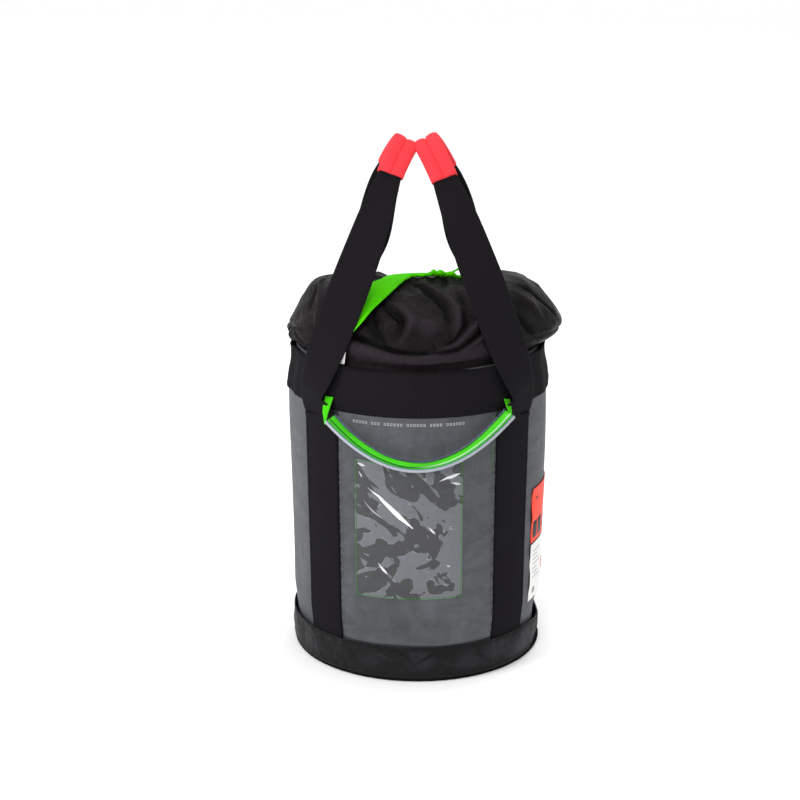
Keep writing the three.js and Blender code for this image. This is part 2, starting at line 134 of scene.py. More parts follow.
# ---------------------------------------------------------------- node helpers for materials
class Shader:
    """A small helper that builds a procedural Principled material."""

    def __init__(self, name):
        self.material = bpy.data.materials.new(name)
        self.material.use_nodes = True
        self.tree = self.material.node_tree
        self.base = self.tree.nodes["Principled BSDF"]

    def set(self, **values):
        for key, value in values.items():
            self.base.inputs[key.replace("_", " ")].default_value = value
        return self

    def node(self, kind, **settings):
        made = self.tree.nodes.new(kind)
        for key, value in settings.items():
            setattr(made, key, value)
        return made

    def link(self, out, into):
        self.tree.links.new(out, into)

    def fill(self, socket, value):
        if isinstance(value, bpy.types.NodeSocket):
            self.link(value, socket)
        else:
            socket.default_value = value

    def place(self, kind="Object"):
        return self.node("ShaderNodeTexCoord").outputs[kind]

    def cloth_uv(self):
        return self.node("ShaderNodeUVMap", uv_map="cloth").outputs["UV"]

    def scaled(self, vector, scale):
        mapping = self.node("ShaderNodeMapping")
        self.link(vector, mapping.inputs["Vector"])
        mapping.inputs["Scale"].default_value = scale
        return mapping.outputs["Vector"]

    def noise(self, vector, scale, detail=3.0, roughness=0.5, distortion=0.0):
        made = self.node("ShaderNodeTexNoise")
        self.link(vector, made.inputs["Vector"])
        made.inputs["Scale"].default_value = scale
        made.inputs["Detail"].default_value = detail
        made.inputs["Roughness"].default_value = roughness
        made.inputs["Distortion"].default_value = distortion
        return made.outputs["Fac"]

    def wave(self, vector, scale, direction="X", distortion=0.0, profile="SIN"):
        made = self.node("ShaderNodeTexWave", bands_direction=direction, wave_profile=profile)
        self.link(vector, made.inputs["Vector"])
        made.inputs["Scale"].default_value = scale
        made.inputs["Distortion"].default_value = distortion
        made.inputs["Detail"].default_value = 1.0
        return made.outputs["Fac"]

    def math(self, operation, a, b=0.0, c=0.0):
        made = self.node("ShaderNodeMath", operation=operation)
        for socket, value in zip(made.inputs, (a, b, c)):
            self.fill(socket, value)
        return made.outputs[0]

    def spread(self, value, low, high, to_low, to_high):
        made = self.node("ShaderNodeMapRange")
        keys = ("Value", "From Min", "From Max", "To Min", "To Max")
        for key, part in zip(keys, (value, low, high, to_low, to_high)):
            self.fill(made.inputs[key], part)
        return made.outputs[0]

    def mix(self, factor, a, b):
        made = self.node("ShaderNodeMix", data_type="RGBA")
        self.fill(made.inputs[0], factor)
        self.fill(made.inputs[6], a)
        self.fill(made.inputs[7], b)
        return made.outputs[2]

    def bump(self, height, strength, distance):
        made = self.node("ShaderNodeBump")
        made.inputs["Strength"].default_value = strength
        made.inputs["Distance"].default_value = distance
        self.link(height, made.inputs["Height"])
        self.link(made.outputs["Normal"], self.base.inputs["Normal"])
        return self

    def colour(self, value):
        self.link(value, self.base.inputs["Base Color"])
        return self

    def rough(self, value):
        self.link(value, self.base.inputs["Roughness"])
        return self


def rgba(r, g, b):
    return (r, g, b, 1.0)


def tinted(colour, share):
    return tuple(min(1.0, part * share) for part in colour[:3]) + (1.0,)


def waves_per(period):
    """Scale of a wave texture whose bands repeat every so many metres."""
    return 2 * math.pi / (20 * period)


def painted(s, name):
    """A value that was painted on the mesh with paint()."""
    return s.node("ShaderNodeAttribute", attribute_name=name).outputs["Fac"]


def webbing_look(name, colour, rib=0.0016, column=0.0042, relief=0.00035, sheen=0.0, gloss=0.07):
    """Woven webbing: ribs across, columns along, a little fuzz and uneven dye."""
    s = Shader(name)
    uv = s.cloth_uv()
    ribs = s.wave(uv, waves_per(rib), "Y")
    columns = s.wave(uv, waves_per(column), "X")
    height = s.math("ADD", s.math("MULTIPLY", ribs, 0.7), s.math("MULTIPLY", columns, 0.5))
    cloud = s.noise(s.place(), 14, detail=4)
    fuzz = s.noise(s.place(), 900, detail=2)
    shade = s.math("ADD", s.math("MULTIPLY", height, 0.5), s.math("MULTIPLY", cloud, 0.6))
    shade = s.math("ADD", shade, s.math("MULTIPLY", fuzz, 0.35))
    s.colour(s.mix(s.spread(shade, 0.35, 1.25, 0, 1), tinted(colour, 0.72), tinted(colour, 1.35)))
    s.rough(s.spread(cloud, 0.3, 0.7, 0.78, 0.92))
    s.bump(s.math("ADD", height, s.math("MULTIPLY", fuzz, 0.3)), 0.7, relief)
    s.set(Sheen_Weight=sheen, Sheen_Roughness=0.45, Specular_IOR_Level=gloss)
    return s.material


def fabric_look(
    name,
    colour,
    thread=0.0006,
    roughness=0.6,
    sheen=0.03,
    relief=0.00012,
    crumple=0.0,
    gloss=0.15,
    folds=False,
):
    """Plain-woven cloth with fine threads, soft cloudiness and small creases."""
    s = Shader(name)
    uv = s.cloth_uv()
    weave = s.math("MULTIPLY", s.wave(uv, waves_per(thread), "X"), s.wave(uv, waves_per(thread), "Y"))
    cloud = s.noise(s.place(), 9, detail=5)
    crease = s.noise(s.place(), 55, detail=3, distortion=0.6)
    shade = s.math("ADD", s.math("MULTIPLY", weave, 0.35), cloud)
    tone = s.mix(s.spread(shade, 0.35, 0.95, 0, 1), tinted(colour, 0.78), tinted(colour, 1.25))
    if folds:
        # With folds, the painted fold value darkens creases as painted shade and lightens ridges as a painted
        # highlight.
        fold = painted(s, "fold")
        tone = s.mix(s.spread(fold, 0.15, 0.5, 0, 1), tinted(colour, 0.28), tone)
        tone = s.mix(s.spread(fold, 0.55, 1.0, 0, 0.75), tone, tinted(colour, 3.3))
    s.colour(tone)
    s.rough(s.spread(cloud, 0.3, 0.7, roughness - 0.07, roughness + 0.07))
    height = s.math("ADD", s.math("MULTIPLY", weave, relief), s.math("MULTIPLY", crease, crumple))
    s.bump(height, 1.0, 1.0)
    s.set(Sheen_Weight=sheen, Sheen_Roughness=0.35, Specular_IOR_Level=gloss)
    return s.material


def tarpaulin_look(name, colour):
    """Coated fabric: a faint scrim under a smooth skin, scuffs and dust."""
    s = Shader(name)
    uv = s.cloth_uv()
    scrim = s.math("ADD", s.wave(uv, waves_per(0.0016), "X"), s.wave(uv, waves_per(0.0016), "Y"))
    cloud = s.noise(s.place(), 5, detail=5)
    dust = s.noise(s.scaled(s.place(), (1, 1, 0.5)), 38, detail=6, roughness=0.65, distortion=1.0)
    grain = s.noise(s.place(), 420, detail=2)
    smudge = s.noise(s.scaled(s.place(), (1, 1, 1.7)), 13, detail=5, roughness=0.6, distortion=1.8)
    shade = s.math("ADD", s.math("MULTIPLY", cloud, 0.35), s.math("MULTIPLY", dust, 0.35))
    shade = s.math("ADD", shade, s.math("MULTIPLY", smudge, 0.35))
    shade = s.math("ADD", shade, s.math("MULTIPLY", scrim, 0.03))
    s.colour(s.mix(s.spread(shade, 0.44, 0.66, 0, 1), tinted(colour, 0.72), tinted(colour, 1.34)))
    s.rough(s.spread(dust, 0.35, 0.65, 0.5, 0.66))
    height = s.math("ADD", s.math("MULTIPLY", scrim, 0.00005), s.math("MULTIPLY", grain, 0.00008))
    height = s.math("ADD", height, s.math("MULTIPLY", smudge, 0.0030))
    s.bump(height, 1.0, 1.0)
    s.set(Specular_IOR_Level=0.22)
    return s.material


def film_look(name):
    """Clear film over the panel: dark and grey patches of painted reflection with pale rims, and a painted
    highlight on its creases.
    """
    s = Shader(name)
    slant = s.node("ShaderNodeMapping")
    slant.vector_type = "TEXTURE"
    s.link(s.cloth_uv(), slant.inputs["Vector"])
    slant.inputs["Rotation"].default_value = (0, 0, math.radians(-46))
    slant.inputs["Scale"].default_value = (2.6, 1.0, 1.0)
    cross = s.node("ShaderNodeMapping")
    cross.vector_type = "TEXTURE"
    s.link(s.cloth_uv(), cross.inputs["Vector"])
    cross.inputs["Rotation"].default_value = (0, 0, math.radians(34))
    cross.inputs["Scale"].default_value = (2.2, 1.0, 1.0)
    one_way = s.noise(slant.outputs["Vector"], 43, detail=1.8, roughness=0.5, distortion=0.6)
    other_way = s.noise(cross.outputs["Vector"], 38, detail=1.8, roughness=0.5, distortion=0.6)
    height = s.node("ShaderNodeSeparateXYZ")
    s.link(s.place(), height.inputs["Vector"])
    above = s.spread(height.outputs["Z"], 0.19, 0.25, 0.25, 0.88)
    lift_and_painted_reflection = s.node("ShaderNodeMix")
    s.link(above, lift_and_painted_reflection.inputs["Factor"])
    s.link(other_way, lift_and_painted_reflection.inputs["A"])
    s.link(one_way, lift_and_painted_reflection.inputs["B"])
    lift_and_painted_reflection = lift_and_painted_reflection.outputs["Result"]
    flecks = s.noise(slant.outputs["Vector"], 70, detail=1.5, distortion=1.2)
    # patch picks the grey patches and rim the pale lines along their edges: painted reflections, not the film's
    # own colour.
    patch = s.spread(lift_and_painted_reflection, 0.497, 0.503, 0, 1)
    patch = s.math("MAXIMUM", patch, s.spread(flecks, 0.660, 0.672, 0, 1))
    patch = s.math("MULTIPLY", patch, s.spread(flecks, 0.290, 0.300, 0, 1))
    band = s.math("MULTIPLY", s.spread(lift_and_painted_reflection, 0.500, 0.503, 0, 1), s.spread(lift_and_painted_reflection, 0.507, 0.512, 1, 0))
    rim = s.math("MULTIPLY", band, s.spread(flecks, 0.52, 0.56, 0, 1))
    tone = s.mix(patch, rgba(0.036, 0.037, 0.040), rgba(0.108, 0.114, 0.128))
    tone = s.mix(s.math("MULTIPLY", rim, 0.7), tone, rgba(0.25, 0.26, 0.28))
    # Painted highlight on the creases, from the glare values.
    s.colour(s.mix(painted(s, "glare"), tone, rgba(0.80, 0.81, 0.84)))
    s.set(Roughness=0.2, Specular_IOR_Level=0.3, Coat_Weight=0.15, Coat_Roughness=0.06)
    s.bump(s.math("MULTIPLY", lift_and_painted_reflection, 0.003), 0.6, 1.0)
    return s.material


def hose_look(name):
    """Clear soft tube: seen through at the front and back, paler and less clear along its two folded edges,
    partly the wall seen edge-on and partly a painted reflection.
    """
    s = Shader(name)
    streak = s.noise(s.scaled(s.cloth_uv(), (1, 0.12, 1)), 420, detail=3)
    edge = painted(s, "edge")
    s.colour(s.mix(s.spread(edge, 0.5, 1, 0, 1), rgba(0.115, 0.165, 0.27), rgba(0.42, 0.44, 0.50)))
    clear = s.math("ADD", s.spread(edge, 0.05, 0.5, 0, 0.72), s.spread(streak, 0.55, 0.75, 0.0, 0.10))
    s.link(clear, s.base.inputs["Alpha"])
    s.rough(s.spread(streak, 0.3, 0.7, 0.15, 0.3))
    s.set(Specular_IOR_Level=0.3)
    s.bump(s.math("MULTIPLY", streak, 0.0004), 0.6, 1.0)
    return s.material


def plastic_look(name, colour, roughness=0.42):
    s = Shader(name)
    cloud = s.noise(s.place(), 40, detail=4)
    grain = s.noise(s.place(), 1400, detail=2)
    s.colour(s.mix(cloud, tinted(colour, 0.8), tinted(colour, 1.3)))
    s.rough(s.spread(cloud, 0.3, 0.7, roughness - 0.08, roughness + 0.08))
    s.bump(s.math("MULTIPLY", grain, 0.00006), 1.0, 1.0)
    return s.material


def label_look(name, colour):
    s = Shader(name)
    cloud = s.noise(s.place(), 16, detail=4)
    grain = s.noise(s.place(), 700, detail=2)
    s.colour(s.mix(s.spread(cloud, 0.3, 0.7, 0, 1), tinted(colour, 0.9), tinted(colour, 1.08)))
    s.rough(s.spread(cloud, 0.3, 0.7, 0.38, 0.55))
    s.bump(s.math("MULTIPLY", grain, 0.00005), 1.0, 1.0)
    s.set(Specular_IOR_Level=0.15)
    return s.material


def steel_look(name):
    s = Shader(name)
    streak = s.noise(s.scaled(s.place(), (1, 1, 12)), 300, detail=2)
    s.colour(s.mix(streak, rgba(0.5, 0.5, 0.52), rgba(0.68, 0.68, 0.7)))
    s.rough(s.spread(streak, 0.3, 0.7, 0.22, 0.38))
    s.set(Metallic=1.0)
    return s.material


def thread_look(name, colour):
    s = Shader(name)
    ply = s.wave(s.place(), waves_per(0.0007), "DIAGONAL")
    s.colour(s.mix(ply, tinted(colour, 0.7), tinted(colour, 1.25)))
    s.set(Roughness=0.7, Specular_IOR_Level=0.12)
    s.bump(s.math("MULTIPLY", ply, 0.00012), 1.0, 1.0)
    return s.material


def striped_webbing_look(name, stops):
    """Webbing whose colour changes across its width in woven stripes."""
    s = Shader(name)
    uv = s.cloth_uv()
    share = painted(s, "across")
    band = s.node("ShaderNodeValToRGB")
    s.link(share, band.inputs["Fac"])
    band.color_ramp.interpolation = "CONSTANT"
    elements = band.color_ramp.elements
    while len(elements) < len(stops):
        elements.new(0.5)
    for element, (position, colour) in zip(elements, stops):
        element.position = position
        element.color = colour
    ribs = s.wave(uv, waves_per(0.0012), "Y")
    # groove: painted shade in the webbing's groove on the left part; on the right part a pale line takes its
    # place.
    groove = s.math("MULTIPLY", s.spread(share, 0.52, 0.55, 0, 1), s.spread(share, 0.63, 0.66, 1, 0))
    seam = s.math("MULTIPLY", s.spread(share, 0.30, 0.32, 0, 1), s.spread(share, 0.34, 0.36, 1, 0))
    pale = s.mix(painted(s, "right_part"), rgba(0.008, 0.10, 0.012), rgba(0.62, 0.86, 0.60))
    woven = s.mix(groove, band.outputs["Color"], pale)
    woven = s.mix(s.math("MULTIPLY", seam, 0.55), woven, rgba(0.010, 0.16, 0.012))
    s.colour(s.mix(s.math("MULTIPLY", ribs, 0.30), woven, rgba(0.01, 0.10, 0.01)))
    s.set(Roughness=0.6, Specular_IOR_Level=0.2)
    s.bump(s.math("MULTIPLY", ribs, 0.0003), 1.0, 1.0)
    return s.material


GREY = rgba(0.060, 0.0635, 0.0705)
BLACK = rgba(0.0070, 0.0060, 0.0074)
NYLON_BLACK = rgba(0.0062, 0.0045, 0.0057)
BASE_BLACK = rgba(0.0125, 0.0119, 0.0148)
NEON = rgba(0.082, 0.66, 0.0008)
CORAL = rgba(0.80, 0.040, 0.052)
WHITE = rgba(0.80, 0.80, 0.78)

LOOK = {
    "tarpaulin": tarpaulin_look("grey_tarpaulin", GREY),
    "webbing": webbing_look("black_webbing", BLACK),
    "band": webbing_look("rim_band_webbing", BLACK, rib=0.0024, column=0.006),
    "base": fabric_look(
        "base_cordura",
        BASE_BLACK,
        thread=0.0012,
        roughness=0.6,
        relief=0.00025,
        crumple=0.0060,
        gloss=0.16,
        folds=True,
    ),
    "piping": fabric_look("piping_cloth", BLACK, thread=0.001, roughness=0.85, sheen=0.0, gloss=0.03),
    "nylon": fabric_look(
        "hood_nylon", NYLON_BLACK, roughness=0.42, sheen=0.0, crumple=0.0042, gloss=0.065, folds=True
    ),
    "neon": fabric_look("neon_nylon", NEON, roughness=0.55, sheen=0.0, crumple=0.0008, gloss=0.03),
    "cord": fabric_look("neon_cord", NEON, thread=0.0009, roughness=0.7, relief=0.0004),
    "coral": webbing_look("coral_sleeve", CORAL, rib=0.0012, column=0.0034, sheen=0.05),
    "film": film_look("window_film"),
    "hose": hose_look("clear_hose"),
    "lock": plastic_look("lock_plastic", rgba(0.012, 0.012, 0.013)),
    "board": plastic_look("stiffener_board", rgba(0.016, 0.016, 0.017), 0.6),
    "steel": steel_look("spring_steel"),
    "orange": label_look("orange_label", rgba(0.80, 0.052, 0.022)),
    "white": label_look("white_label", WHITE),
    "ink": label_look("label_ink", rgba(0.02, 0.02, 0.022)),
    "grey_ink": label_look("label_grey_ink", rgba(0.30, 0.30, 0.31)),
    "print": label_look("panel_print", rgba(0.36, 0.37, 0.38)),
    "grey_thread": thread_look("grey_thread", rgba(0.075, 0.078, 0.084)),
    "green_thread": thread_look("green_thread", rgba(0.045, 0.26, 0.02)),
    "black_thread": thread_look("black_thread", rgba(0.007, 0.007, 0.008)),
    "coral_thread": thread_look("coral_thread", rgba(0.75, 0.035, 0.045)),
    "neon_webbing": webbing_look("neon_webbing", rgba(0.05, 0.46, 0.006), rib=0.0012, column=0.003),
    "loop_webbing": striped_webbing_look(
        "loop_webbing",
        [
            (0.0, rgba(0.03, 0.42, 0.006)),
            (0.08, rgba(0.075, 0.70, 0.008)),
            (0.52, rgba(0.05, 0.55, 0.008)),
            # The last stop darkens the lower edge as painted shade in the gap next to the hose wall.
            (0.90, rgba(0.012, 0.14, 0.02)),
        ],
    ),
}

# ---------------------------------------------------------------- mesh helpers
BODY_OUTLINE = ((0, 50, 85, 378, 438), (168.6, 170, 174, 177.5, 170.2))
GAP = 0.4


def body_radius(z):
    return np.interp(z, *BODY_OUTLINE)


def settle(azimuth, z):
    """The whole tube's slump: drawn in at the right foot, a little uneven all round."""
    turn = (np.asarray(azimuth, float) + 180) % 360 - 180
    z = np.asarray(z, float)
    foot = -6.0 * bell(turn, 92, 26) * (1 - smooth(z, 30, 120))
    waist = -1.6 * bell(turn, -92, 30) * bell(z, 120, 90) - 1.2 * bell(turn, 95, 25) * bell(z, 175, 60)
    swell = 1.0 * bell(turn, 92, 25) * bell(z, 290, 60) + 0.8 * bell(turn, -90, 25) * bell(z, 330, 50)
    uneven = 0.5 * np.sin(np.radians(turn * 3) + z * 0.012) * smooth(z, 20, 90)
    return foot + waist + swell + uneven


def at(azimuth, radius, z):
    a = np.radians(azimuth)
    return np.stack(np.broadcast_arrays(radius * np.sin(a), -radius * np.cos(a), z), -1)


def unit(vectors):
    return vectors / np.maximum(np.linalg.norm(vectors, axis=-1, keepdims=True), 1e-9)


class Ripple:
    """Smooth, repeatable unevenness: a sum of seeded cosines."""

    def __init__(self, seed, count, low, high):
        rng = np.random.default_rng(seed)
        angle = rng.uniform(0, 2 * np.pi, count)
        size = rng.uniform(low, high, count)
        self.kx, self.ky = size * np.cos(angle), size * np.sin(angle)
        self.phase = rng.uniform(0, 2 * np.pi, count)
        self.share = 1 / math.sqrt(count)

    def __call__(self, x, y):
        x, y = np.broadcast_arrays(np.asarray(x, float), np.asarray(y, float))
        total = np.zeros(x.shape)
        for kx, ky, phase in zip(self.kx, self.ky, self.phase):
            total += np.cos(kx * x + ky * y + phase)
        return total * self.share


def smooth(value, low, high):
    t = np.clip((np.asarray(value, float) - low) / (high - low), 0, 1)
    return t * t * (3 - 2 * t)


def bell(value, middle, width):
    return np.exp(-(((np.asarray(value, float) - middle) / width) ** 2))


def make_piece(name, vertices, faces, look, uv=None):
    """A mesh object from millimetre vertices, shaded smooth, with its cloth UV in metres."""
    mesh = bpy.data.meshes.new(name)
    mesh.from_pydata((np.asarray(vertices) * MM).tolist(), [], np.asarray(faces).tolist())
    mesh.update()
    mesh.shade_smooth()
    if uv is not None:
        layer = mesh.uv_layers.new(name="cloth")
        corner = np.zeros(len(mesh.loops), np.int32)
        mesh.loops.foreach_get("vertex_index", corner)
        layer.data.foreach_set("uv", (np.asarray(uv)[corner] * MM).astype(np.float32).ravel())
    mesh.materials.append(look)
    piece = bpy.data.objects.new(name, mesh)
    bpy.context.scene.collection.objects.link(piece)
    return piece


def arc_lengths(grid, axis):
    """Distance run along one axis of a grid of points, in the grid's own shape."""
    steps = np.linalg.norm(np.diff(grid, axis=axis), axis=-1)
    start = np.zeros_like(np.take(steps, [0], axis=axis))
    return np.concatenate([start, np.cumsum(steps, axis=axis)], axis=axis)


def skin(name, outer, inner, look, wrap=False):
    """A cloth with two faces and closed edges. outer and inner are grids, rows by columns."""
    rows, columns = outer.shape[:2]
    points = np.concatenate([outer.reshape(-1, 3), inner.reshape(-1, 3)])
    index = np.arange(rows * columns).reshape(rows, columns)
    if wrap:
        index = np.concatenate([index, index[:, :1]], axis=1)
    a, b, c, d = index[:-1, :-1], index[:-1, 1:], index[1:, 1:], index[1:, :-1]
    front = np.stack([a, b, c, d], -1).reshape(-1, 4)
    shift = rows * columns
    back = front[:, ::-1] + shift
    low = np.stack([index[0, 1:], index[0, :-1], index[0, :-1] + shift, index[0, 1:] + shift], -1)
    top = np.stack([index[-1, :-1], index[-1, 1:], index[-1, 1:] + shift, index[-1, :-1] + shift], -1)
    faces = [front, back, low, top]
    if not wrap:
        left = index[:, 0]
        right = index[:, -1]
        faces.append(np.stack([left[:-1], left[1:], left[1:] + shift, left[:-1] + shift], -1))
        faces.append(np.stack([right[1:], right[:-1], right[:-1] + shift, right[1:] + shift], -1))
    along_u = arc_lengths(outer, 1).mean(axis=0, keepdims=True).repeat(rows, axis=0)
    along_v = arc_lengths(outer, 0).mean(axis=1, keepdims=True).repeat(columns, axis=1)
    uv = np.stack([along_u, along_v], -1).reshape(-1, 2)
    return make_piece(name, points, np.concatenate(faces), look, np.concatenate([uv, uv]))


def grid(us, vs):
    return np.meshgrid(np.asarray(us, float), np.asarray(vs, float))


def steps(low, high, size):
    return np.linspace(low, high, max(2, int(round((high - low) / size)) + 1))


def layer(name, azimuths, heights, low_offset, high_offset, look, wrap=False, relief=None):
    """Cloth that follows the body tube between two offsets off it, with relief(a, z) added."""
    a, z = grid(azimuths, heights)
    radius = body_radius(z) + settle(a, z) + (relief(a, z) if relief else 0)
    return skin(name, at(a, radius + high_offset, z), at(a, radius + low_offset, z), look, wrap)


def paint(piece, name, values):
    """Stores one number for each vertex, for a material to read."""
    attribute = piece.data.attributes.new(name, "FLOAT", "POINT")
    attribute.data.foreach_set("value", np.asarray(values, np.float32).ravel())
    return piece


def paint_fold_shade_and_highlight(piece, lift):
    """Paints shade into creases (0) and a highlight onto ridges (1) of a folded cloth, for its material; both
    faces alike.
    """
    tone = np.clip(0.5 + np.asarray(lift) / 9.0, 0, 1).ravel()
    return paint(piece, "fold", np.concatenate([tone, tone]))


def distance_to(points, path):
    """Distance from each point to a polyline, and how far along it (0 to 1) the nearest place is."""
    points, path = np.asarray(points, float), np.asarray(path, float)
    best = np.full(points.shape[:-1], np.inf)
    share = np.zeros(points.shape[:-1])
    run = np.concatenate([[0], np.cumsum(np.linalg.norm(np.diff(path, axis=0), axis=-1))])
    for k, (a, b) in enumerate(zip(path, path[1:])):
        d = b - a
        u = np.clip(((points - a) @ d) / max(d @ d, 1e-9), 0, 1)
        far = np.linalg.norm(points - a - u[..., None] * d, axis=-1)
        near = far < best
        best = np.where(near, far, best)
        share = np.where(near, (run[k] + u * (run[k + 1] - run[k])) / run[-1], share)
    return best, share


def rounded_path(points, count):
    """A smooth path through points: a Catmull-Rom curve sampled evenly enough."""
    p = np.asarray(points, float)
    p = np.concatenate([[2 * p[0] - p[1]], p, [2 * p[-1] - p[-2]]])
    made = []
    per = max(2, count // (len(p) - 3))
    for i in range(1, len(p) - 2):
        for u in np.linspace(0, 1, per, endpoint=False):
            a, b, c, d = p[i - 1 : i + 3]
            made.append(
                0.5
                * (2 * b + (c - a) * u + (2 * a - 5 * b + 4 * c - d) * u**2 + (3 * b - a - 3 * c + d) * u**3)
            )
    made.append(p[-2])
    return np.array(made)


def frames_along(points):
    """Unit tangents of a polyline."""
    return unit(np.gradient(points, axis=0))


def sweep(name, centres, across, out, outline, look, uv_scale=1.0):
    """A closed outline carried along a path. outline(i) gives section points (across, out)."""
    rings = []
    for i, centre in enumerate(centres):
        section = outline(i)
        rings.append(centre + section[:, :1] * across[i] + section[:, 1:] * out[i])
    rings = np.array(rings)
    rows, columns = rings.shape[:2]
    index = np.arange(rows * columns).reshape(rows, columns)
    index = np.concatenate([index, index[:, :1]], axis=1)
    a, b, c, d = index[:-1, :-1], index[:-1, 1:], index[1:, 1:], index[1:, :-1]
    faces = np.stack([a, b, c, d], -1).reshape(-1, 4).tolist()
    faces.append(list(range(columns))[::-1])
    faces.append(list(range((rows - 1) * columns, rows * columns)))
    along = arc_lengths(np.asarray(centres)[:, None, :], 0)[:, 0]
    ring_width = np.concatenate([[0], np.cumsum(np.linalg.norm(np.diff(rings[0], axis=0), axis=-1))])
    uv = np.stack(np.broadcast_arrays(ring_width[None, :], along[:, None]), -1).reshape(-1, 2)
    mesh_points = rings.reshape(-1, 3)
    piece = make_piece_mixed(name, mesh_points, faces, look, uv * uv_scale)
    return piece


def make_piece_mixed(name, vertices, faces, look, uv):
    mesh = bpy.data.meshes.new(name)
    mesh.from_pydata((np.asarray(vertices) * MM).tolist(), [], faces)
    mesh.update()
    mesh.shade_smooth()
    layer_uv = mesh.uv_layers.new(name="cloth")
    corner = np.zeros(len(mesh.loops), np.int32)
    mesh.loops.foreach_get("vertex_index", corner)
    layer_uv.data.foreach_set("uv", (np.asarray(uv)[corner] * MM).astype(np.float32).ravel())
    mesh.materials.append(look)
    piece = bpy.data.objects.new(name, mesh)
    bpy.context.scene.collection.objects.link(piece)
    return piece


def strip_outline(half_width, half_thick, curl=0.0, count=13):
    """A webbing section with rounded edges, counter-clockwise; curl cups it across its width."""
    x = np.linspace(-1, 1, count)
    edge = half_thick * np.sqrt(np.clip(1 - np.abs(x) ** 10, 0, 1)) * 0.9 + half_thick * 0.1
    cup = curl * (x * x - 0.4)
    top = np.stack([x * half_width, cup + edge], -1)
    low = np.stack([x[::-1] * half_width, (cup - edge)[::-1]], -1)
    return np.concatenate([low, top])


def stitches(name, path, normals, look, length=3.2, gap=1.3, thick=0.42):
    """A row of sewn stitches on a path: short rounded threads that dip at both ends."""
    run = np.concatenate([[0], np.cumsum(np.linalg.norm(np.diff(path, axis=0), axis=-1))])
    total = run[-1]
    count = max(1, int(total / (length + gap)))
    pitch = total / count
    sides, rings = 6, 5
    angle = np.linspace(0, 2 * np.pi, sides, endpoint=False)
    vertices, faces = [], []
    for k in range(count):
        s = (k + 0.5) * pitch + np.linspace(-length / 2, length / 2, rings)
        centre = np.stack([np.interp(s, run, path[:, i]) for i in range(3)], -1)
        up = unit(np.stack([np.interp(s, run, normals[:, i]) for i in range(3)], -1))
        along = unit(centre[-1] - centre[0])
        side = unit(np.cross(along, up))
        shape = np.sqrt(np.clip(1 - np.linspace(-1, 1, rings) ** 2, 0.12, 1))
        start = len(vertices)
        for r in range(rings):
            middle = centre[r] + up[r] * thick * (shape[r] - 0.45)
            for t in angle:
                offset = side[r] * math.cos(t) + up[r] * math.sin(t)
                vertices.append(middle + offset * thick * (0.45 + 0.55 * shape[r]))
        for r in range(rings - 1):
            for t in range(sides):
                nxt = (t + 1) % sides
                p, q = start + r * sides, start + (r + 1) * sides
                faces.append([p + t, p + nxt, q + nxt, q + t])
        faces.append([start + t for t in range(sides)][::-1])
        faces.append([start + (rings - 1) * sides + t for t in range(sides)])
    return make_piece_mixed(name, vertices, faces, look, np.array(vertices)[:, [0, 2]])


def body_row(azimuths, heights, offset, relief=None):
    """Points and outward normals of a line that lies on the body at an offset."""
    azimuths, heights = np.broadcast_arrays(np.asarray(azimuths, float), np.asarray(heights, float))
    radius = body_radius(heights) + settle(azimuths, heights) + (relief(azimuths, heights) if relief else 0)
    return at(azimuths, radius + offset, heights), at(azimuths, 1.0, 0.0)


def dress(node, look):
    """Gives a CAD node that stays in view its own material."""
    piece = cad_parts[node]
    piece.data.materials.clear()
    piece.data.materials.append(look)


def place_piece(piece, body, slot, *nodes):
    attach(piece, body)
    if nodes:
        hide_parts(*nodes)
    return piece


# ---------------------------------------------------------------- body tube, base and panels
SEGMENT = 1.25
AROUND = np.arange(0, 360, SEGMENT)
STRAP_AZIMUTH = 46
STRAP_HALF = 9.8

side_ripple = Ripple(4, 9, 0.10, 0.30)
long_ripple = Ripple(7, 7, 0.03, 0.10)


def wall_relief(a, z):
    """Soft vertical ripples in the tarpaulin, still under the straps and near the rim."""
    turn = np.abs((np.asarray(a, float) + 180) % 360 - 180)
    near_strap = bell(turn, STRAP_AZIMUTH, 13) + bell(turn, 180 - STRAP_AZIMUTH, 13)
    free = np.clip(1 - near_strap, 0, 1) * smooth(z, 55, 110) * (1 - smooth(z, 330, 375))
    waves = 0.75 * side_ripple(a, np.asarray(z) * 0.02) + 0.6 * long_ripple(a, np.asarray(z) * 0.12)
    under_band = -4.2 * smooth(z, 383, 390)
    return waves * free + under_band


def build_wall():
    low, high = node_span("body_wall")
    heights = steps(low[2], high[2], 4)
    wall = layer("tarpaulin_wall", AROUND, heights, -1.6, 0, LOOK["tarpaulin"], True, wall_relief)
    place_piece(wall, "bag", "tarpaulin", "body_wall")
    for node, look in (
        ("base_disc", "base"),
        ("base_inner_panel", "tarpaulin"),
        ("base_stiffener", "board"),
        ("rim_hoop", "board"),
    ):
        dress(node, LOOK[look])


build_wall()


def base_top(a):
    """Height of the foot's upper seam: it sags on the right side."""
    turn = (np.asarray(a, float) + 180) % 360 - 180
    return 50 - 13 * smooth(turn, 55, 88) * (1 - smooth(turn, 100, 135))


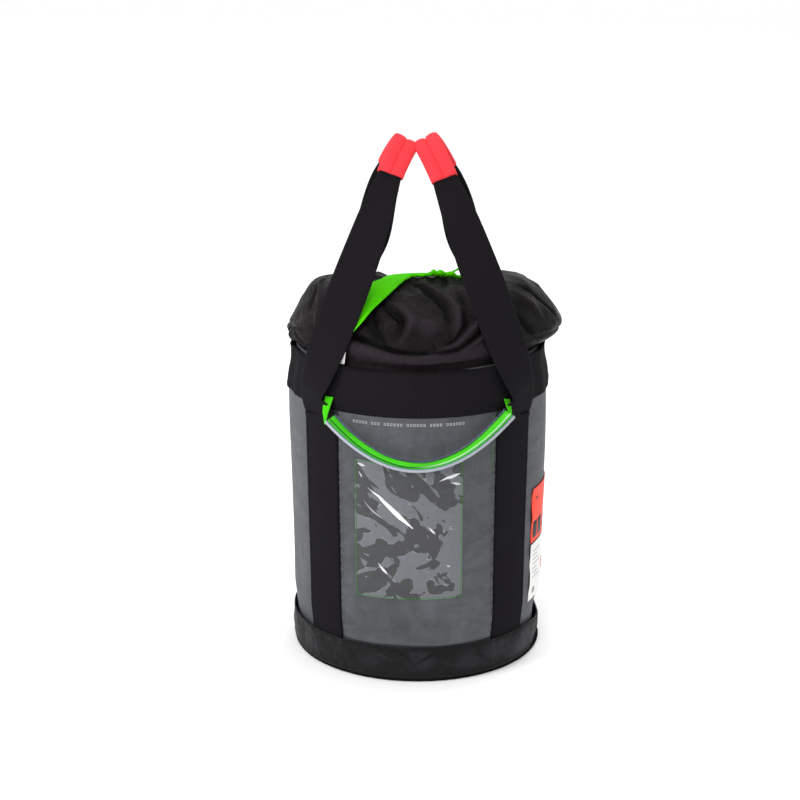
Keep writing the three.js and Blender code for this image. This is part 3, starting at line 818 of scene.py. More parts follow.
def build_base():
    """Black foot of the bag: a cloth ring over the strap ends, its hem, seams and piping."""
    low, high = node_span("base_band")
    crumple = Ripple(11, 12, 0.10, 0.40)
    broad = Ripple(12, 6, 0.04, 0.10)
    straps = (STRAP_AZIMUTH, -STRAP_AZIMUTH, 180 - STRAP_AZIMUTH, STRAP_AZIMUTH - 180)
    creases = (
        ((-14, 47), (-6, 38), (-1, 26), 2.6, -2.6),
        ((12, 46), (5, 37), (-1, 26), 2.4, -2.4),
        ((-20, 40), (-12, 33), (-5, 30), 2.8, 1.8),
        ((9, 34), (15, 24), (20, 22), 3.0, 1.6),
        ((-33, 44), (-29, 30), (-27, 18), 2.4, -1.5),
        ((27, 45), (29, 33), (33, 20), 2.6, -1.6),
        ((58, 40), (66, 28), (72, 24), 3.2, 2.0),
        ((-62, 38), (-70, 28), (-78, 26), 3.2, -1.8),
    )

    def relief(a, z):
        a, z = np.broadcast_arrays(np.asarray(a, float), np.asarray(z, float))
        turn = (a + 180) % 360 - 180
        ridge = sum(bell(turn, s - STRAP_HALF, 0.9) + bell(turn, s + STRAP_HALF, 0.9) for s in straps)
        under = sum(bell(turn, s, STRAP_HALF) ** 0.5 for s in straps)
        free = smooth(z, 7, 20) * (1 - smooth(z, 40, 50))
        flat = np.stack([turn * 3.05, z], -1)
        total = 2.1 * ridge * smooth(z, 5, 14) + 0.5 * under * free
        for *path, width, height in creases:
            line = rounded_path(np.array([(p[0] * 3.05, p[1], 0) for p in path]), 24)[:, :2]
            far, share = distance_to(flat, line)
            total += height * np.exp(-((far / width) ** 2)) * np.sin(np.pi * np.clip(share, 0.08, 0.92))
        total += (1.1 * crumple(a, z * 0.45) + 1.2 * broad(a, z * 0.4)) * free
        return total + 1.8 * bell(z, 27, 16) * (1 - np.clip(ridge, 0, 1))

    a, w = grid(AROUND, np.linspace(0, 1, 30))
    z = low[2] + (base_top(a) - low[2]) * w
    lift = relief(a, z)
    radius = body_radius(z) + settle(a, z) + lift
    band = skin("base_cloth_ring", at(a, radius + 5.1, z), at(a, radius + 3.3, z), LOOK["base"], True)
    # Painted shade in the foot's creases and a painted highlight on its ridges, from its relief.
    paint_fold_shade_and_highlight(band, 1.9 * (lift - 1.9))
    place_piece(band, "bag", "base_fabric", "base_band")
    turn = np.arange(0, 360.01, 0.5)
    heights = {"base_hem_stitching": np.full(turn.shape, 10.0), "base_top_stitching": base_top(turn) - 3.5}
    for name, height in heights.items():
        path, normals = body_row(turn, height, 5.2, relief)
        row = stitches(name, path, normals, LOOK["black_thread"], length=3.6, gap=1.6)
        place_piece(row, "bag", "base_fabric")
    dress("base_piping", LOOK["piping"])
    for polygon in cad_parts["base_piping"].data.polygons:
        polygon.use_smooth = True


build_base()


def build_straps():
    sides = {
        "strap_front_left": -STRAP_AZIMUTH,
        "strap_front_right": STRAP_AZIMUTH,
        "strap_back_right": 180 - STRAP_AZIMUTH,
        "strap_back_left": STRAP_AZIMUTH - 180,
    }
    for node, middle in sides.items():
        low, high = node_span(node)
        azimuths = np.linspace(middle - STRAP_HALF, middle + STRAP_HALF, 26)

        def relief(a, z, middle=middle):
            return 0.25 * side_ripple(a * 0.7, z * 0.03)

        strap = layer(
            f"{node}_webbing",
            azimuths,
            steps(low[2], high[2], 4),
            GAP,
            GAP + 2.5,
            LOOK["webbing"],
            relief=relief,
        )
        place_piece(strap, "bag", "webbing", node)
        heights = np.arange(BASE_TOP, high[2] - 2, 0.8 * 3)
        for side in (-1, 1):
            line = np.full(heights.shape, middle + side * (STRAP_HALF - 1.0))
            path, normals = body_row(line, heights, GAP + 2.6, relief)
            row = stitches(
                f"{node}_stitches_{'left' if side < 0 else 'right'}",
                path,
                normals,
                LOOK["black_thread"],
                length=3.4,
                gap=1.4,
                thick=0.35,
            )
            place_piece(row, "bag", "webbing")


BASE_TOP = 50
build_straps()


panel_tug = Ripple(8, 9, 0.10, 0.34)


def panel_relief(a, z):
    """The front panel pulls in along its seams in small puckers."""
    side = smooth(np.abs(a), 29.0, 35.0)
    pucker = side * (0.75 * np.cos(z * 0.46 + 2 * np.sin(z * 0.11)) + 0.35 * np.cos(z * 0.9 + a))
    tugs = 0.5 * smooth(z, 150, 55) * panel_tug(a, z * 0.25)
    belly = 0.8 * long_ripple(a * 0.8, z * 0.05) * (1 - side)
    return pucker + belly + tugs + 0.9 - 0.7 * smooth(np.abs(a), 33.5, 35.4)


def build_front_panel():
    low, high = node_span("front_panel")
    azimuths = np.linspace(-35.6, 35.6, 150)
    heights = steps(low[2], high[2] + 0.6, 2.2)
    panel = layer(
        "front_panel_cloth",
        azimuths,
        heights,
        GAP,
        GAP + 0.8,
        LOOK["tarpaulin"],
        relief=panel_relief,
    )
    place_piece(panel, "bag", "tarpaulin", "front_panel")
    green_from, green_to = 285, 62
    for side, where in (("left", -34.2), ("right", 34.2)):
        parts = {
            "low": (low[2] + 3, green_to),
            "middle": (green_to, green_from),
            "high": (green_from, high[2] - 3),
        }
        for part, (z0, z1) in parts.items():
            run = np.arange(z0, z1, 1.5)
            green = side == "right" and part != "middle"
            path, normals = body_row(np.full(run.shape, where), run, GAP + 0.9, panel_relief)
            look = LOOK["green_thread" if green else "grey_thread"]
            row = stitches(f"front_panel_stitches_{side}_{part}", path, normals, look, 3.6, 2.2, 0.36)
            place_piece(row, "bag", "tarpaulin")


build_front_panel()

WINDOW = {"left": -27.4, "right": 19.8, "low": 122, "high": 316}
film_wave = Ripple(21, 12, 0.25, 0.9)
film_fold = Ripple(22, 6, 0.08, 0.25)
# Raised creases that carry a painted highlight: points (azimuth, height), widest half width and strength
GLARES = (
    (((-21.3, 279), (-16.1, 268), (-11.1, 253), (-6.8, 240), (-1.9, 226)), 3.6, 1.0),
    (((-23.5, 262), (-19, 246), (-15, 238)), 1.3, 0.35),
    (((4.6, 228), (7.6, 217)), 1.6, 0.8),
    (((-16.6, 173), (-14.5, 165), (-12.6, 159)), 1.7, 0.95),
    (((8.8, 290), (12.5, 295), (18.3, 299)), 2.6, 0.75),
    (((14.0, 288), (18.6, 284)), 1.8, 0.6),
    (((-26.2, 311), (-22.4, 308)), 1.8, 0.6),
    (((-25.4, 300), (-23.6, 292)), 1.1, 0.6),
    (((12.5, 171), (14.4, 168)), 1.0, 0.6),
)


def film_relief(a, z):
    a, z = np.broadcast_arrays(np.asarray(a, float), np.asarray(z, float))
    beside = np.minimum(a - WINDOW["left"], WINDOW["right"] - a) * 3.0
    above = np.minimum(z - WINDOW["low"], WINDOW["high"] - z)
    free = smooth(np.minimum(beside, above), 1, 18)
    ridged = 1 - np.abs(film_wave(a, z * 0.33))
    lift = free * (1.6 + 0.7 * ridged + 0.8 * film_fold(a, z * 0.33))
    return panel_relief(a, z) + lift + 1.2 * film_glare(a, z)


def film_glare(a, z):
    """How strongly each place of the film lies on one of the raised creases with a painted highlight, 0 to 1.
    """
    flat = np.stack([a * 3.14, z], -1)
    total = np.zeros(flat.shape[:-1])
    for points, width, strength in GLARES:
        path = np.array([(azimuth * 3.14, height) for azimuth, height in points])
        far, share = distance_to(flat, path)
        taper = width * np.sin(np.pi * np.clip(share, 0.04, 0.96) ** 1.5) ** 0.8
        total = np.maximum(total, strength * (1 - smooth(far, taper * 0.7, taper)))
    return total


def build_window():
    azimuths = np.linspace(WINDOW["left"], WINDOW["right"], 220)
    heights = np.linspace(WINDOW["low"], WINDOW["high"], 290)
    film = layer("window_film_sheet", azimuths, heights, 1.6, 2.0, LOOK["film"], relief=film_relief)
    # glare: painted highlight on the creases, for the film's material.
    glare = film_glare(*grid(azimuths, heights)).ravel()
    paint(film, "glare", np.concatenate([glare, glare]))
    place_piece(film, "bag", "window_film", "pocket_window")
    inset_a, inset_z = 0.5, 1.5
    left, right = WINDOW["left"] + inset_a, WINDOW["right"] - inset_a
    low, high = WINDOW["low"] + inset_z, WINDOW["high"] - inset_z
    corners = [(left, low), (right, low), (right, high), (left, high), (left, low)]
    a, z = [], []
    for (a0, z0), (a1, z1) in zip(corners, corners[1:]):
        a.append(np.linspace(a0, a1, 80))
        z.append(np.linspace(z0, z1, 80))
    path, normals = body_row(np.concatenate(a), np.concatenate(z), 2.1, film_relief)
    row = stitches("window_stitching", path, normals, LOOK["green_thread"], 3.6, 1.0, 0.5)
    place_piece(row, "bag", "window_film")


build_window()


def label_relief(a, z):
    ripple = 0.9 * np.sin(np.asarray(z) * 0.13) * smooth(np.abs(a - 81.8), 12, 19.5)
    return wall_relief(a, z) + 0.8 + ripple


def build_labels():
    """Orange and white patches on the right side, with generic bars and lines as their print."""
    rows = {
        "side_label_upper": ("orange_patch", "orange", "orange_label"),
        "side_label_lower": ("white_patch", "white", "white_label"),
    }
    for node, (name, look, slot) in rows.items():
        low, high = node_span(node)
        a, z = grid(np.linspace(62.5, 101, 60), steps(low[2], high[2], 1.5))
        edge = 0.30 * np.sin(z * 0.11) + 0.10 * np.sin(z * 0.31 + 1)
        a = a + edge * (1 - smooth(a, 62.5, 70))
        radius = body_radius(z) + settle(a, z) + label_relief(a, z)
        patch = skin(name, at(a, radius + 0.9, z), at(a, radius + 0.3, z), LOOK[look])
        place_piece(patch, "bag", slot, node)
    orange_marks = (
        (64.5, 69, 172, 196),
        (70.5, 75.5, 172, 196),
        (78, 96, 176, 181),
        (78, 92, 187, 191),
        (67, 69, 227, 230),
    )
    for k, (a0, a1, z0, z1) in enumerate(orange_marks):
        label_mark(f"orange_patch_bar_{k}", a0, a1, z0, z1, LOOK["ink"], "orange_label")
    for k in range(7):
        width = 9 - 2 * (k % 3)
        low_edge, high_edge = 112 + 6.5 * k, 113.2 + 6.5 * k
        name = f"white_patch_line_{k}"
        label_mark(name, 65.5, 65.5 + width, low_edge, high_edge, LOOK["grey_ink"], "white_label")
    label_mark("white_patch_square", 66, 69, 88, 97, LOOK["grey_ink"], "white_label")
    label_mark("white_patch_dot", 79, 85, 112, 128, LOOK["orange"], "white_label")


def label_mark(name, a0, a1, z0, z1, look, slot):
    mark = layer(name, np.linspace(a0, a1, 12), np.linspace(z0, z1, 4), 0.95, 1.05, look, relief=label_relief)
    return place_piece(mark, "bag", slot)


build_labels()


def marks_on_body(name, marks, low_offset, high_offset, look, relief):
    """Many small flat marks, each (azimuth, azimuth, height, height), as one thin mesh."""
    vertices, faces = [], []
    order = ((0, 2), (1, 2), (1, 3), (0, 3))
    for mark in marks:
        start = len(vertices)
        for offset in (low_offset, high_offset):
            for i, j in order:
                a, z = mark[i], mark[j]
                radius = body_radius(z) + settle(a, z) + relief(a, z) + offset
                vertices.append(at(a, radius, z))
        faces.append([start + k for k in (3, 2, 1, 0)])
        faces.append([start + k for k in (4, 5, 6, 7)])
        faces += [[start + k, start + (k + 1) % 4, start + 4 + (k + 1) % 4, start + 4 + k] for k in range(4)]
    points = np.array([np.ravel(v) for v in vertices])
    return make_piece_mixed(name, points, faces, look, points[:, [0, 2]])


def build_panel_print():
    """A row of tiny hollow boxes in groups stands in for the line of print on the front panel."""
    groups, start, end = (5, 3, 6, 6, 4, 6), -28.0, 20.6
    slots = sum(groups) + len(groups) - 1
    pitch = (end - start) / slots
    low, tall, line, wide = 366.2, 3.8, 0.7, 0.62
    place = start
    marks = []
    stroke = line / 3.1
    for count in groups:
        for _ in range(count):
            a0, a1 = place, place + pitch * wide
            marks += [(a0, a0 + stroke, low, low + tall), (a1 - stroke, a1, low, low + tall)]
            marks += [(a0, a1, low, low + line), (a0, a1, low + tall - line, low + tall)]
            place += pitch
        place += pitch
    row = marks_on_body("panel_print_row", marks, 1.0, 1.25, LOOK["print"], panel_relief)
    place_piece(row, "bag", "tarpaulin")


build_panel_print()


def build_rim():
    low, high = node_span("rim_band")
    sag = Ripple(31, 8, 0.05, 0.16)

    def relief(a, z):
        turn = np.abs((np.asarray(a, float) + 180) % 360 - 180)
        aside = smooth(turn, 55, 75) * (1 - smooth(turn, 110, 125))
        lip = 1.2 * smooth(z, high[2] - 5, high[2])
        dent = aside * (1.6 * sag(a * 3, z * 0.10) - 1.5 * bell(z, low[2] + 38, 12))
        return 0.8 * sag(a, z * 0.02) * smooth(z, low[2], low[2] + 15) + lip + dent

    band = layer(
        "rim_band_ring",
        AROUND,
        steps(low[2], high[2], 1.8),
        GAP,
        GAP + 2.5,
        LOOK["band"],
        True,
        relief,
    )
    place_piece(band, "bag", "webbing", "rim_band")
    across, a = np.meshgrid(np.radians(np.linspace(-88, 88, 9)), AROUND, indexing="ij")
    radius = body_radius(high[2]) + settle(a, high[2]) + relief(a, high[2]) + GAP + 1.25
    outer = at(a, radius + 1.7 * np.cos(across), high[2] - 0.9 + 1.7 * np.sin(across))
    inner = at(a, radius - 1.7 * np.cos(across), high[2] - 0.9 + 1.7 * np.sin(across))
    binding = skin("rim_binding", outer, inner, LOOK["piping"], True)
    place_piece(binding, "bag", "webbing")
    turn = np.arange(0, 360.01, 0.5)
    for name, height in (("rim_stitching_low", low[2] + 4), ("rim_stitching_high", high[2] - 5)):
        path, normals = body_row(turn, np.full(turn.shape, height), GAP + 2.6, relief)
        row = stitches(name, path, normals, LOOK["black_thread"], length=3.4, gap=1.4, thick=0.35)
        place_piece(row, "bag", "webbing")


build_rim()

# ---------------------------------------------------------------- hood, hem and collar
MOUTH = {"centre": np.array([10.0, 40.0, 508.0]), "radius": 60.0, "lean": math.radians(20)}
MOUTH_NORMAL = np.array([0, math.sin(MOUTH["lean"]), math.cos(MOUTH["lean"])])
MOUTH_FRONT = np.array([0, -math.cos(MOUTH["lean"]), math.sin(MOUTH["lean"])])


def mouth_point(azimuth, radius, height=0.0):
    a = np.radians(np.asarray(azimuth, float))[..., None]
    radius = np.asarray(radius, float)[..., None]
    height = np.asarray(height, float)[..., None]
    side = np.array([1.0, 0, 0])
    return MOUTH["centre"] + radius * (np.sin(a) * side + np.cos(a) * MOUTH_FRONT) + height * MOUTH_NORMAL


# Hood outline at some azimuths: (distance out, height) from the rim to just short of the mouth
HOOD_PROFILES = {
    -135: ((167, 440), (168, 458), (160, 480), (138, 498), (104, 508)),
    -90: ((169, 438), (180, 449), (171, 474), (158, 500), (135, 524)),
    -46: ((166, 440), (162, 462), (152, 488), (134, 510), (104, 524)),
    0: ((167, 440), (170, 456), (158, 478), (136, 500), (96, 517)),
    46: ((166, 440), (164, 462), (155, 488), (138, 510), (106, 525)),
    90: ((170, 437), (196, 450), (193, 474), (174, 500), (141, 526)),
    135: ((167, 440), (166, 458), (158, 480), (141, 499), (108, 511)),
    180: ((167, 440), (171, 456), (166, 472), (152, 484), (122, 490)),
}


HOOD_KNOTS = np.array([0, 0.12, 0.30, 0.48, 0.70, 1.0])
# Folds of the hood: points (azimuth, t) along the fold, half width and height in millimetres.
# A negative height is a crease.
HOOD_FOLDS = (
    (((-24.5, 0.60), (-17, 0.549), (-10, 0.479), (-9, 0.393), (-11, 0.28)), 5.5, -8.0),
    (((-23, 0.50), (-18, 0.426), (-15.5, 0.34)), 4.0, 2.6),
    (((-27, 0.47), (-22.5, 0.33), (-14, 0.21)), 6.0, -5.5),
    (((-23, 0.63), (-11, 0.572), (-4, 0.489), (-4, 0.383), (-7, 0.28)), 4.5, 3.6),
    (((4, 0.50), (6, 0.38), (8, 0.30)), 13.0, 4.2),
    (((-17, 0.94), (3, 0.832), (16, 0.665), (17, 0.479), (16, 0.373), (17, 0.29)), 4.2, -6.0),
    (((1.5, 0.92), (20.5, 0.705), (23.5, 0.511), (21.5, 0.388), (18.5, 0.28)), 4.6, 4.2),
    (((32, 0.74), (30, 0.58), (27, 0.436), (24, 0.31)), 5.2, -5.5),
    (((6, 0.175), (17.5, 0.215), (24, 0.278), (33, 0.35), (44, 0.42)), 3.2, 4.2),
    (((10, 0.15), (19.5, 0.170), (26.5, 0.222), (35, 0.29), (46, 0.36)), 2.6, -4.6),
    (((12, 0.225), (18.5, 0.262), (23, 0.33), (30, 0.42)), 2.4, -4.0),
    (((20, 0.13), (28, 0.18), (36, 0.24), (46, 0.30)), 3.2, 3.2),
    (((6.5, 0.285), (8.0, 0.23), (9.5, 0.18)), 1.8, -2.6),
    (((-50, 0.24), (-32, 0.222), (-22, 0.212), (-13, 0.183), (-3, 0.172), (8, 0.174), (20, 0.150)), 4.2, -6.0),
    (((-48, 0.11), (-30, 0.12), (-12, 0.10), (8, 0.085), (28, 0.08), (46, 0.10)), 8.0, 4.2),
    (((-10, 0.045), (10, 0.035), (34, 0.03)), 3.0, -2.2),
    (((74, 0.64), (78, 0.481), (80, 0.356), (82, 0.27)), 3.0, -5.5),
    (((66, 0.60), (69, 0.45), (71, 0.30)), 6.0, 3.4),
    (((56, 0.38), (59, 0.25), (63, 0.14)), 3.6, -4.5),
    (((60, 0.12), (78, 0.15), (95, 0.14), (112, 0.12)), 5.0, -5.0),
    (((92, 0.62), (94, 0.46), (96, 0.30)), 5.0, -4.0),
    (((104, 0.66), (108, 0.44), (112, 0.24)), 6.0, 3.5),
    (((-84, 0.74), (-68, 0.534), (-62, 0.378), (-58, 0.22)), 3.2, 3.8),
    (((-78, 0.70), (-73, 0.52), (-68, 0.36)), 4.0, -3.4),
    (((-60, 0.22), (-76, 0.19), (-92, 0.18), (-112, 0.20)), 4.0, -6.5),
    (((-66, 0.02), (-70, 0.09), (-73, 0.17)), 3.2, -4.2),
    (((-76, 0.01), (-79, 0.08), (-80, 0.16)), 4.2, 3.4),
    (((-87, 0.02), (-85, 0.09), (-88, 0.17)), 3.2, -4.6),
    (((-96, 0.01), (-95, 0.09), (-99, 0.16)), 4.4, 3.4),
    (((-104, 0.02), (-106, 0.09), (-104, 0.16)), 3.2, -4.2),
    (((-96, 0.66), (-93, 0.48), (-98, 0.30)), 4.5, -3.6),
    (((-104, 0.60), (-108, 0.40), (-104, 0.20)), 5.5, 3.6),
    (((150, 0.80), (142, 0.60), (150, 0.40), (146, 0.20)), 5.0, -6.0),
    (((164, 0.84), (160, 0.62), (168, 0.40), (176, 0.22)), 5.0, 5.0),
    (((186, 0.86), (182, 0.64), (190, 0.46), (186, 0.26)), 5.0, -6.0),
    (((202, 0.80), (206, 0.60), (198, 0.40), (206, 0.20)), 6.0, 5.0),
    (((222, 0.78), (216, 0.56), (224, 0.34)), 5.0, -5.5),
    (((130, 0.20), (150, 0.17), (172, 0.19), (196, 0.16), (226, 0.20)), 4.5, -5.5),
    (((124, 0.70), (128, 0.48), (122, 0.26)), 5.0, -5.0),
    (((236, 0.72), (240, 0.50), (236, 0.28)), 5.5, 4.0),
)


def hermite(u, step, p0, m0, p1, m1):
    """A cubic between two values with their slopes."""
    rise = u * u * (3 - 2 * u)
    return (1 - rise) * p0 + rise * p1 + step * (u * (1 - u) ** 2 * m0 - u * u * (1 - u) * m1)


def periodic_rows(x, rows, at_x):
    """Smooth rows between the known ones of a full turn."""
    x = np.concatenate([x - 360, x, x + 360])
    rows = np.concatenate([rows] * 3)
    slope = np.gradient(rows, x, axis=0)
    i = np.clip(np.searchsorted(x, at_x, side="right") - 1, 0, len(x) - 2)
    step = (x[i + 1] - x[i])[:, None]
    u = (at_x - x[i])[:, None] / step
    return hermite(u, step, rows[i], slope[i], rows[i + 1], slope[i + 1])


def along_knots(knots, points, t):
    """Points (..., knots, 3) joined smoothly and read at t."""
    slope = np.gradient(points, knots, axis=-2)
    i = np.clip(np.searchsorted(knots, t, side="right") - 1, 0, len(knots) - 2)
    step = (knots[i + 1] - knots[i])[..., None]
    u = (t - knots[i])[..., None] / step

    def pick(values, k):
        return np.take_along_axis(values, k[..., None, None], -2)[..., 0, :]

    return hermite(u, step, pick(points, i), pick(slope, i), pick(points, i + 1), pick(slope, i + 1))


def hood_surface(azimuth, t):
    """The gathered hood without its folds, from the rim (t 0) to the leaning mouth (t 1)."""
    azimuth, t = np.broadcast_arrays(np.asarray(azimuth, float), np.asarray(t, float))
    turns = np.array(sorted(HOOD_PROFILES), float)
    table = np.array([HOOD_PROFILES[k] for k in sorted(HOOD_PROFILES)], float)
    wrapped = (azimuth + 180) % 360 - 180
    rows = periodic_rows(turns, table.reshape(len(turns), -1), wrapped.ravel())
    rows = rows.reshape(*azimuth.shape, -1, 2)
    ring = [at(azimuth, rows[..., k, 0], rows[..., k, 1]) for k in range(rows.shape[-2])]
    ring.append(mouth_point(wrapped, np.full(azimuth.shape, MOUTH["radius"])))
    return along_knots(HOOD_KNOTS, np.stack(ring, -2), t)


def surface_normals(points, wrap):
    du = np.roll(points, -1, 1) - np.roll(points, 1, 1) if wrap else np.gradient(points, axis=1)
    dv = np.gradient(points, axis=0)
    return unit(np.cross(du, dv))


def hood_lift(azimuth, t, base):
    """How far the hood cloth stands off its smooth surface: gathers, soft drape and set folds."""
    gathers = Ripple(41, 14, 0.10, 0.55)
    drape = Ripple(42, 10, 0.02, 0.12)
    small = Ripple(43, 16, 0.05, 0.16)
    wander = 6 * drape(azimuth * 0.8, t * 20)
    radial = 0.6 * np.cos(np.radians((azimuth + wander) * 26)) + 0.8 * gathers(azimuth + wander, t * 3)
    lift = radial * 1.6 * smooth(t, 0.62, 0.97)
    lift += 1.5 * drape(azimuth * 1.3, t * 60) * smooth(t, 0.05, 0.25) * (1 - smooth(t, 0.9, 1))
    lift += 0.75 * small(base[..., 0], base[..., 2] + base[..., 1]) * smooth(t, 0.02, 0.2)
    crisp = Ripple(44, 9, 0.03, 0.075)
    pulled = 1 - np.abs(crisp(base[..., 0] * 0.9, base[..., 2] * 1.5 - base[..., 1]))
    lift += 1.5 * np.clip(pulled, -0.5, 1) * smooth(t, 0.03, 0.25) * (1 - smooth(t, 0.8, 1))
    for points, width, height in HOOD_FOLDS:
        spots = np.array([(a, share, 0) for a, share in points], float)
        fine = rounded_path(spots, 30)
        path = hood_surface(fine[:, 0], fine[:, 1])
        far, share = distance_to(base, path)
        ends = np.sin(np.pi * np.clip(share, 0.05, 0.95)) ** 0.6
        sharp = np.where(height < 0, 1.5, 2.0)
        lift += height * np.exp(-((far / width) ** sharp)) * ends
    return lift * smooth(t, 0.0, 0.06) - 1.5


def build_hood():
    azimuths = np.arange(0, 360, 0.6)
    rows = np.linspace(0, 1, 220)
    a, t = grid(azimuths, rows)
    base = hood_surface(a, t)
    normals = surface_normals(base, True)
    lift = hood_lift(a, t, base)
    outer = base + normals * lift[..., None]
    inner = outer - normals * 0.9
    tail_z = np.linspace(425, 439, 10, endpoint=False)
    ta, tz = grid(azimuths, tail_z)
    outer = np.concatenate([at(ta, 166.2, tz), outer])
    inner = np.concatenate([at(ta, 165.3, tz), inner])
    hood = skin("hood_cloth", outer, inner, LOOK["nylon"], True)
    tail_lift = np.zeros((len(tail_z), len(azimuths)))
    turn = (a + 180) % 360 - 180
    # Painted light on the hood: roll is a painted highlight along the front roll, and shade is painted shade
    # over the top and the right side, added to the painted crease shade and ridge highlight.
    roll = 4.5 * bell(t, 0.12, 0.06) * (1 - smooth(np.abs(turn), 42, 60))
    shade = 2.2 * smooth(t, 0.5, 0.8) + 1.6 * smooth(turn, 45, 60) * (1 - smooth(turn, 110, 140))
    paint_fold_shade_and_highlight(hood, np.concatenate([tail_lift, lift + 1.5 + roll - shade]))
    place_piece(hood, "bag", "nylon", "hood")


build_hood()


# Lower edge of the turned-out lining: (azimuth, t)
FLAP_EDGE = (
    (-47, 0.30),
    (-44, 0.17),
    (-33.5, 0.205),
    (-28.4, 0.37),
    (-24.2, 0.565),
    (-21.2, 0.755),
    (-19.2, 0.90),
    (-14, 0.96),
)


def build_collar():
    """Neon collar: the rolled hem around the mouth and the lining turned out at the front left."""
    edge = np.array(FLAP_EDGE)
    azimuths = np.linspace(edge[0, 0], edge[-1, 0], 110)
    a, w = grid(azimuths, np.linspace(0, 1, 90))
    low = np.interp(a, edge[:, 0], edge[:, 1])
    t = low + (0.99 - low) * w
    base = hood_surface(a, t)
    normals = surface_normals(base, False)
    border = hood_surface(edge[:, 0], edge[:, 1])
    far, _ = distance_to(base, border)
    hem = 0.9 * (1 - smooth(far, 5.0, 6.2)) - 0.5 * bell(far, 2.6, 0.7)
    crease = -1.4 * bell(a - 40 * w, -52, 3) + 1.0 * np.sin(a * 0.22 + w * 4)
    lift = 3.4 + hem + crease * smooth(far, 4, 14)
    outer = base + normals * lift[..., None]
    inner = base + normals * (lift[..., None] - 0.9)
    flap = skin("collar_flap", outer, inner, LOOK["neon"])
    place_piece(flap, "bag", "neon_fabric", "hood_collar_flap")
    seam = np.linspace(edge[0, 0], edge[-1, 0], 200)
    run = hood_surface(seam, np.interp(seam, edge[:, 0], edge[:, 1] + 0.028))
    near = np.argmin(np.linalg.norm(base.reshape(-1, 1, 3)[::1] - run[None, ::20], axis=-1), axis=0)
    out = normals.reshape(-1, 3)[near]
    out = np.stack([np.interp(np.arange(200), np.arange(0, 200, 20), out[:, i]) for i in range(3)], -1)
    row = stitches("collar_flap_stitching", run + out * 4.2, out, LOOK["green_thread"], 3.0, 1.2, 0.35)
    place_piece(row, "bag", "neon_fabric")

    turn = np.radians(np.arange(0, 360, 1.2))
    deg = np.degrees(turn)
    bunch = smooth(deg, 0, 10) * (1 - smooth(deg, 38, 48))
    pinch = np.abs(np.sin(turn * 16 + 2 * np.sin(turn * 5)))
    rise = 0.9 + bunch * (1.8 + 1.4 * pinch) + 0.4 * np.sin(turn * 7 + 1)
    centres = mouth_point(deg, 56.5 + 0.8 * np.sin(turn * 9), rise)
    ring = np.linspace(0, 2 * np.pi, 18, endpoint=False)
    outward = unit(centres - MOUTH["centre"])
    rolled = []
    for angle in ring:
        puffed = bunch * (1.3 + 0.9 * pinch + 0.5 * np.sin(turn * 47 + 3 * angle))
        radius = 2.1 + 0.45 * np.sin(turn * 31 + 2 * angle) + puffed
        aside = 1.7 * np.cos(angle) * outward + np.sin(angle) * MOUTH_NORMAL
        rolled.append(centres + radius[:, None] * aside)
    points = np.array(rolled)
    rows, columns = points.shape[:2]
    index = np.arange(rows * columns).reshape(rows, columns)
    right = np.roll(index, -1, 1)
    faces = np.stack([index, right, np.roll(right, -1, 0), np.roll(index, -1, 0)], -1).reshape(-1, 4)[:, ::-1]
    along = np.broadcast_to(np.arange(columns)[None, :] * 1.2, (rows, columns))
    around = np.broadcast_to(np.arange(rows)[:, None] * 0.9, (rows, columns))
    uv = np.stack([along, around], -1).reshape(-1, 2)
    hem_ring = make_piece("mouth_hem", points.reshape(-1, 3), faces, LOOK["neon"], uv)
    place_piece(hem_ring, "bag", "neon_fabric", "hood_hem")


build_collar()


def build_care_label():
    """A small white tag that stands up out of the rim seam beside the left handle."""
    a, z = grid(np.linspace(-38.4, -34.3, 8), np.linspace(440, 456, 14))
    lean = 0.10 * (z - 440)
    bow = 1.2 * np.sin((a + 38.4) * 0.7)
    outer = at(a + lean * 0.25, 170.5 + bow - lean, z)
    inner = at(a + lean * 0.25, 169.9 + bow - lean, z)
    tag = skin("care_tag", outer, inner, LOOK["white"])
    place_piece(tag, "bag", "white_label", "care_label")


build_care_label()

# ---------------------------------------------------------------- drawcord and cord lock
LOCK = {"x": 80.0, "y": 34.0, "z": 517.0, "heading": math.radians(45), "cord": 13.0}
TAIL_SPACING = 2.6
EXIT_AZIMUTH = 60
CORD_DIAMETER = 3.0
CORD_GAP = 28


def tail_point(along, side, height):
    across = side * TAIL_SPACING
    c, s = math.cos(LOCK["heading"]), math.sin(LOCK["heading"])
    x = LOCK["x"] + along * c - across * s
    y = LOCK["y"] + along * s + across * c
    return np.array([x, y, LOCK["z"] + height])


def cord_curve(name, points):
    """A round cord along points, in millimetres, as a curve of one open spline."""
    data = bpy.data.curves.new(name, "CURVE")
    data.dimensions = "3D"
    data.bevel_depth = CORD_DIAMETER / 2 * MM
    data.bevel_resolution = 4
    data.use_fill_caps = True
    spline = data.splines.new("POLY")
    spline.points.add(len(points) - 1)
    for point, place in zip(spline.points, points):
        point.co = (*(np.asarray(place) * MM), 1)
    data.materials.append(LOOK["cord"])
    piece = bpy.data.objects.new(name, data)
    bpy.context.scene.collection.objects.link(piece)
    return place_piece(piece, "bag", "neon_cord", "drawcord")


def mouth_spot(azimuth, radius, height):
    return mouth_point(np.array([azimuth]), np.array([radius]), np.array([height]))[0]


def tail_route(side):
    """One tail of the drawcord: out of the hem's gap, through the lock and on to the knot."""
    return (
        mouth_spot(EXIT_AZIMUTH - side * 14, 55.5, 9),
        mouth_spot(EXIT_AZIMUTH - side * 7, 61, 13),
        tail_point(-14, side, 10.5),
        tail_point(-9, side, LOCK["cord"]),
        tail_point(0, side, LOCK["cord"]),
        tail_point(19, side, LOCK["cord"]),
        tail_point(24, side, 11.5),
        tail_point(28.5, side * 0.8, 8.5),
    )


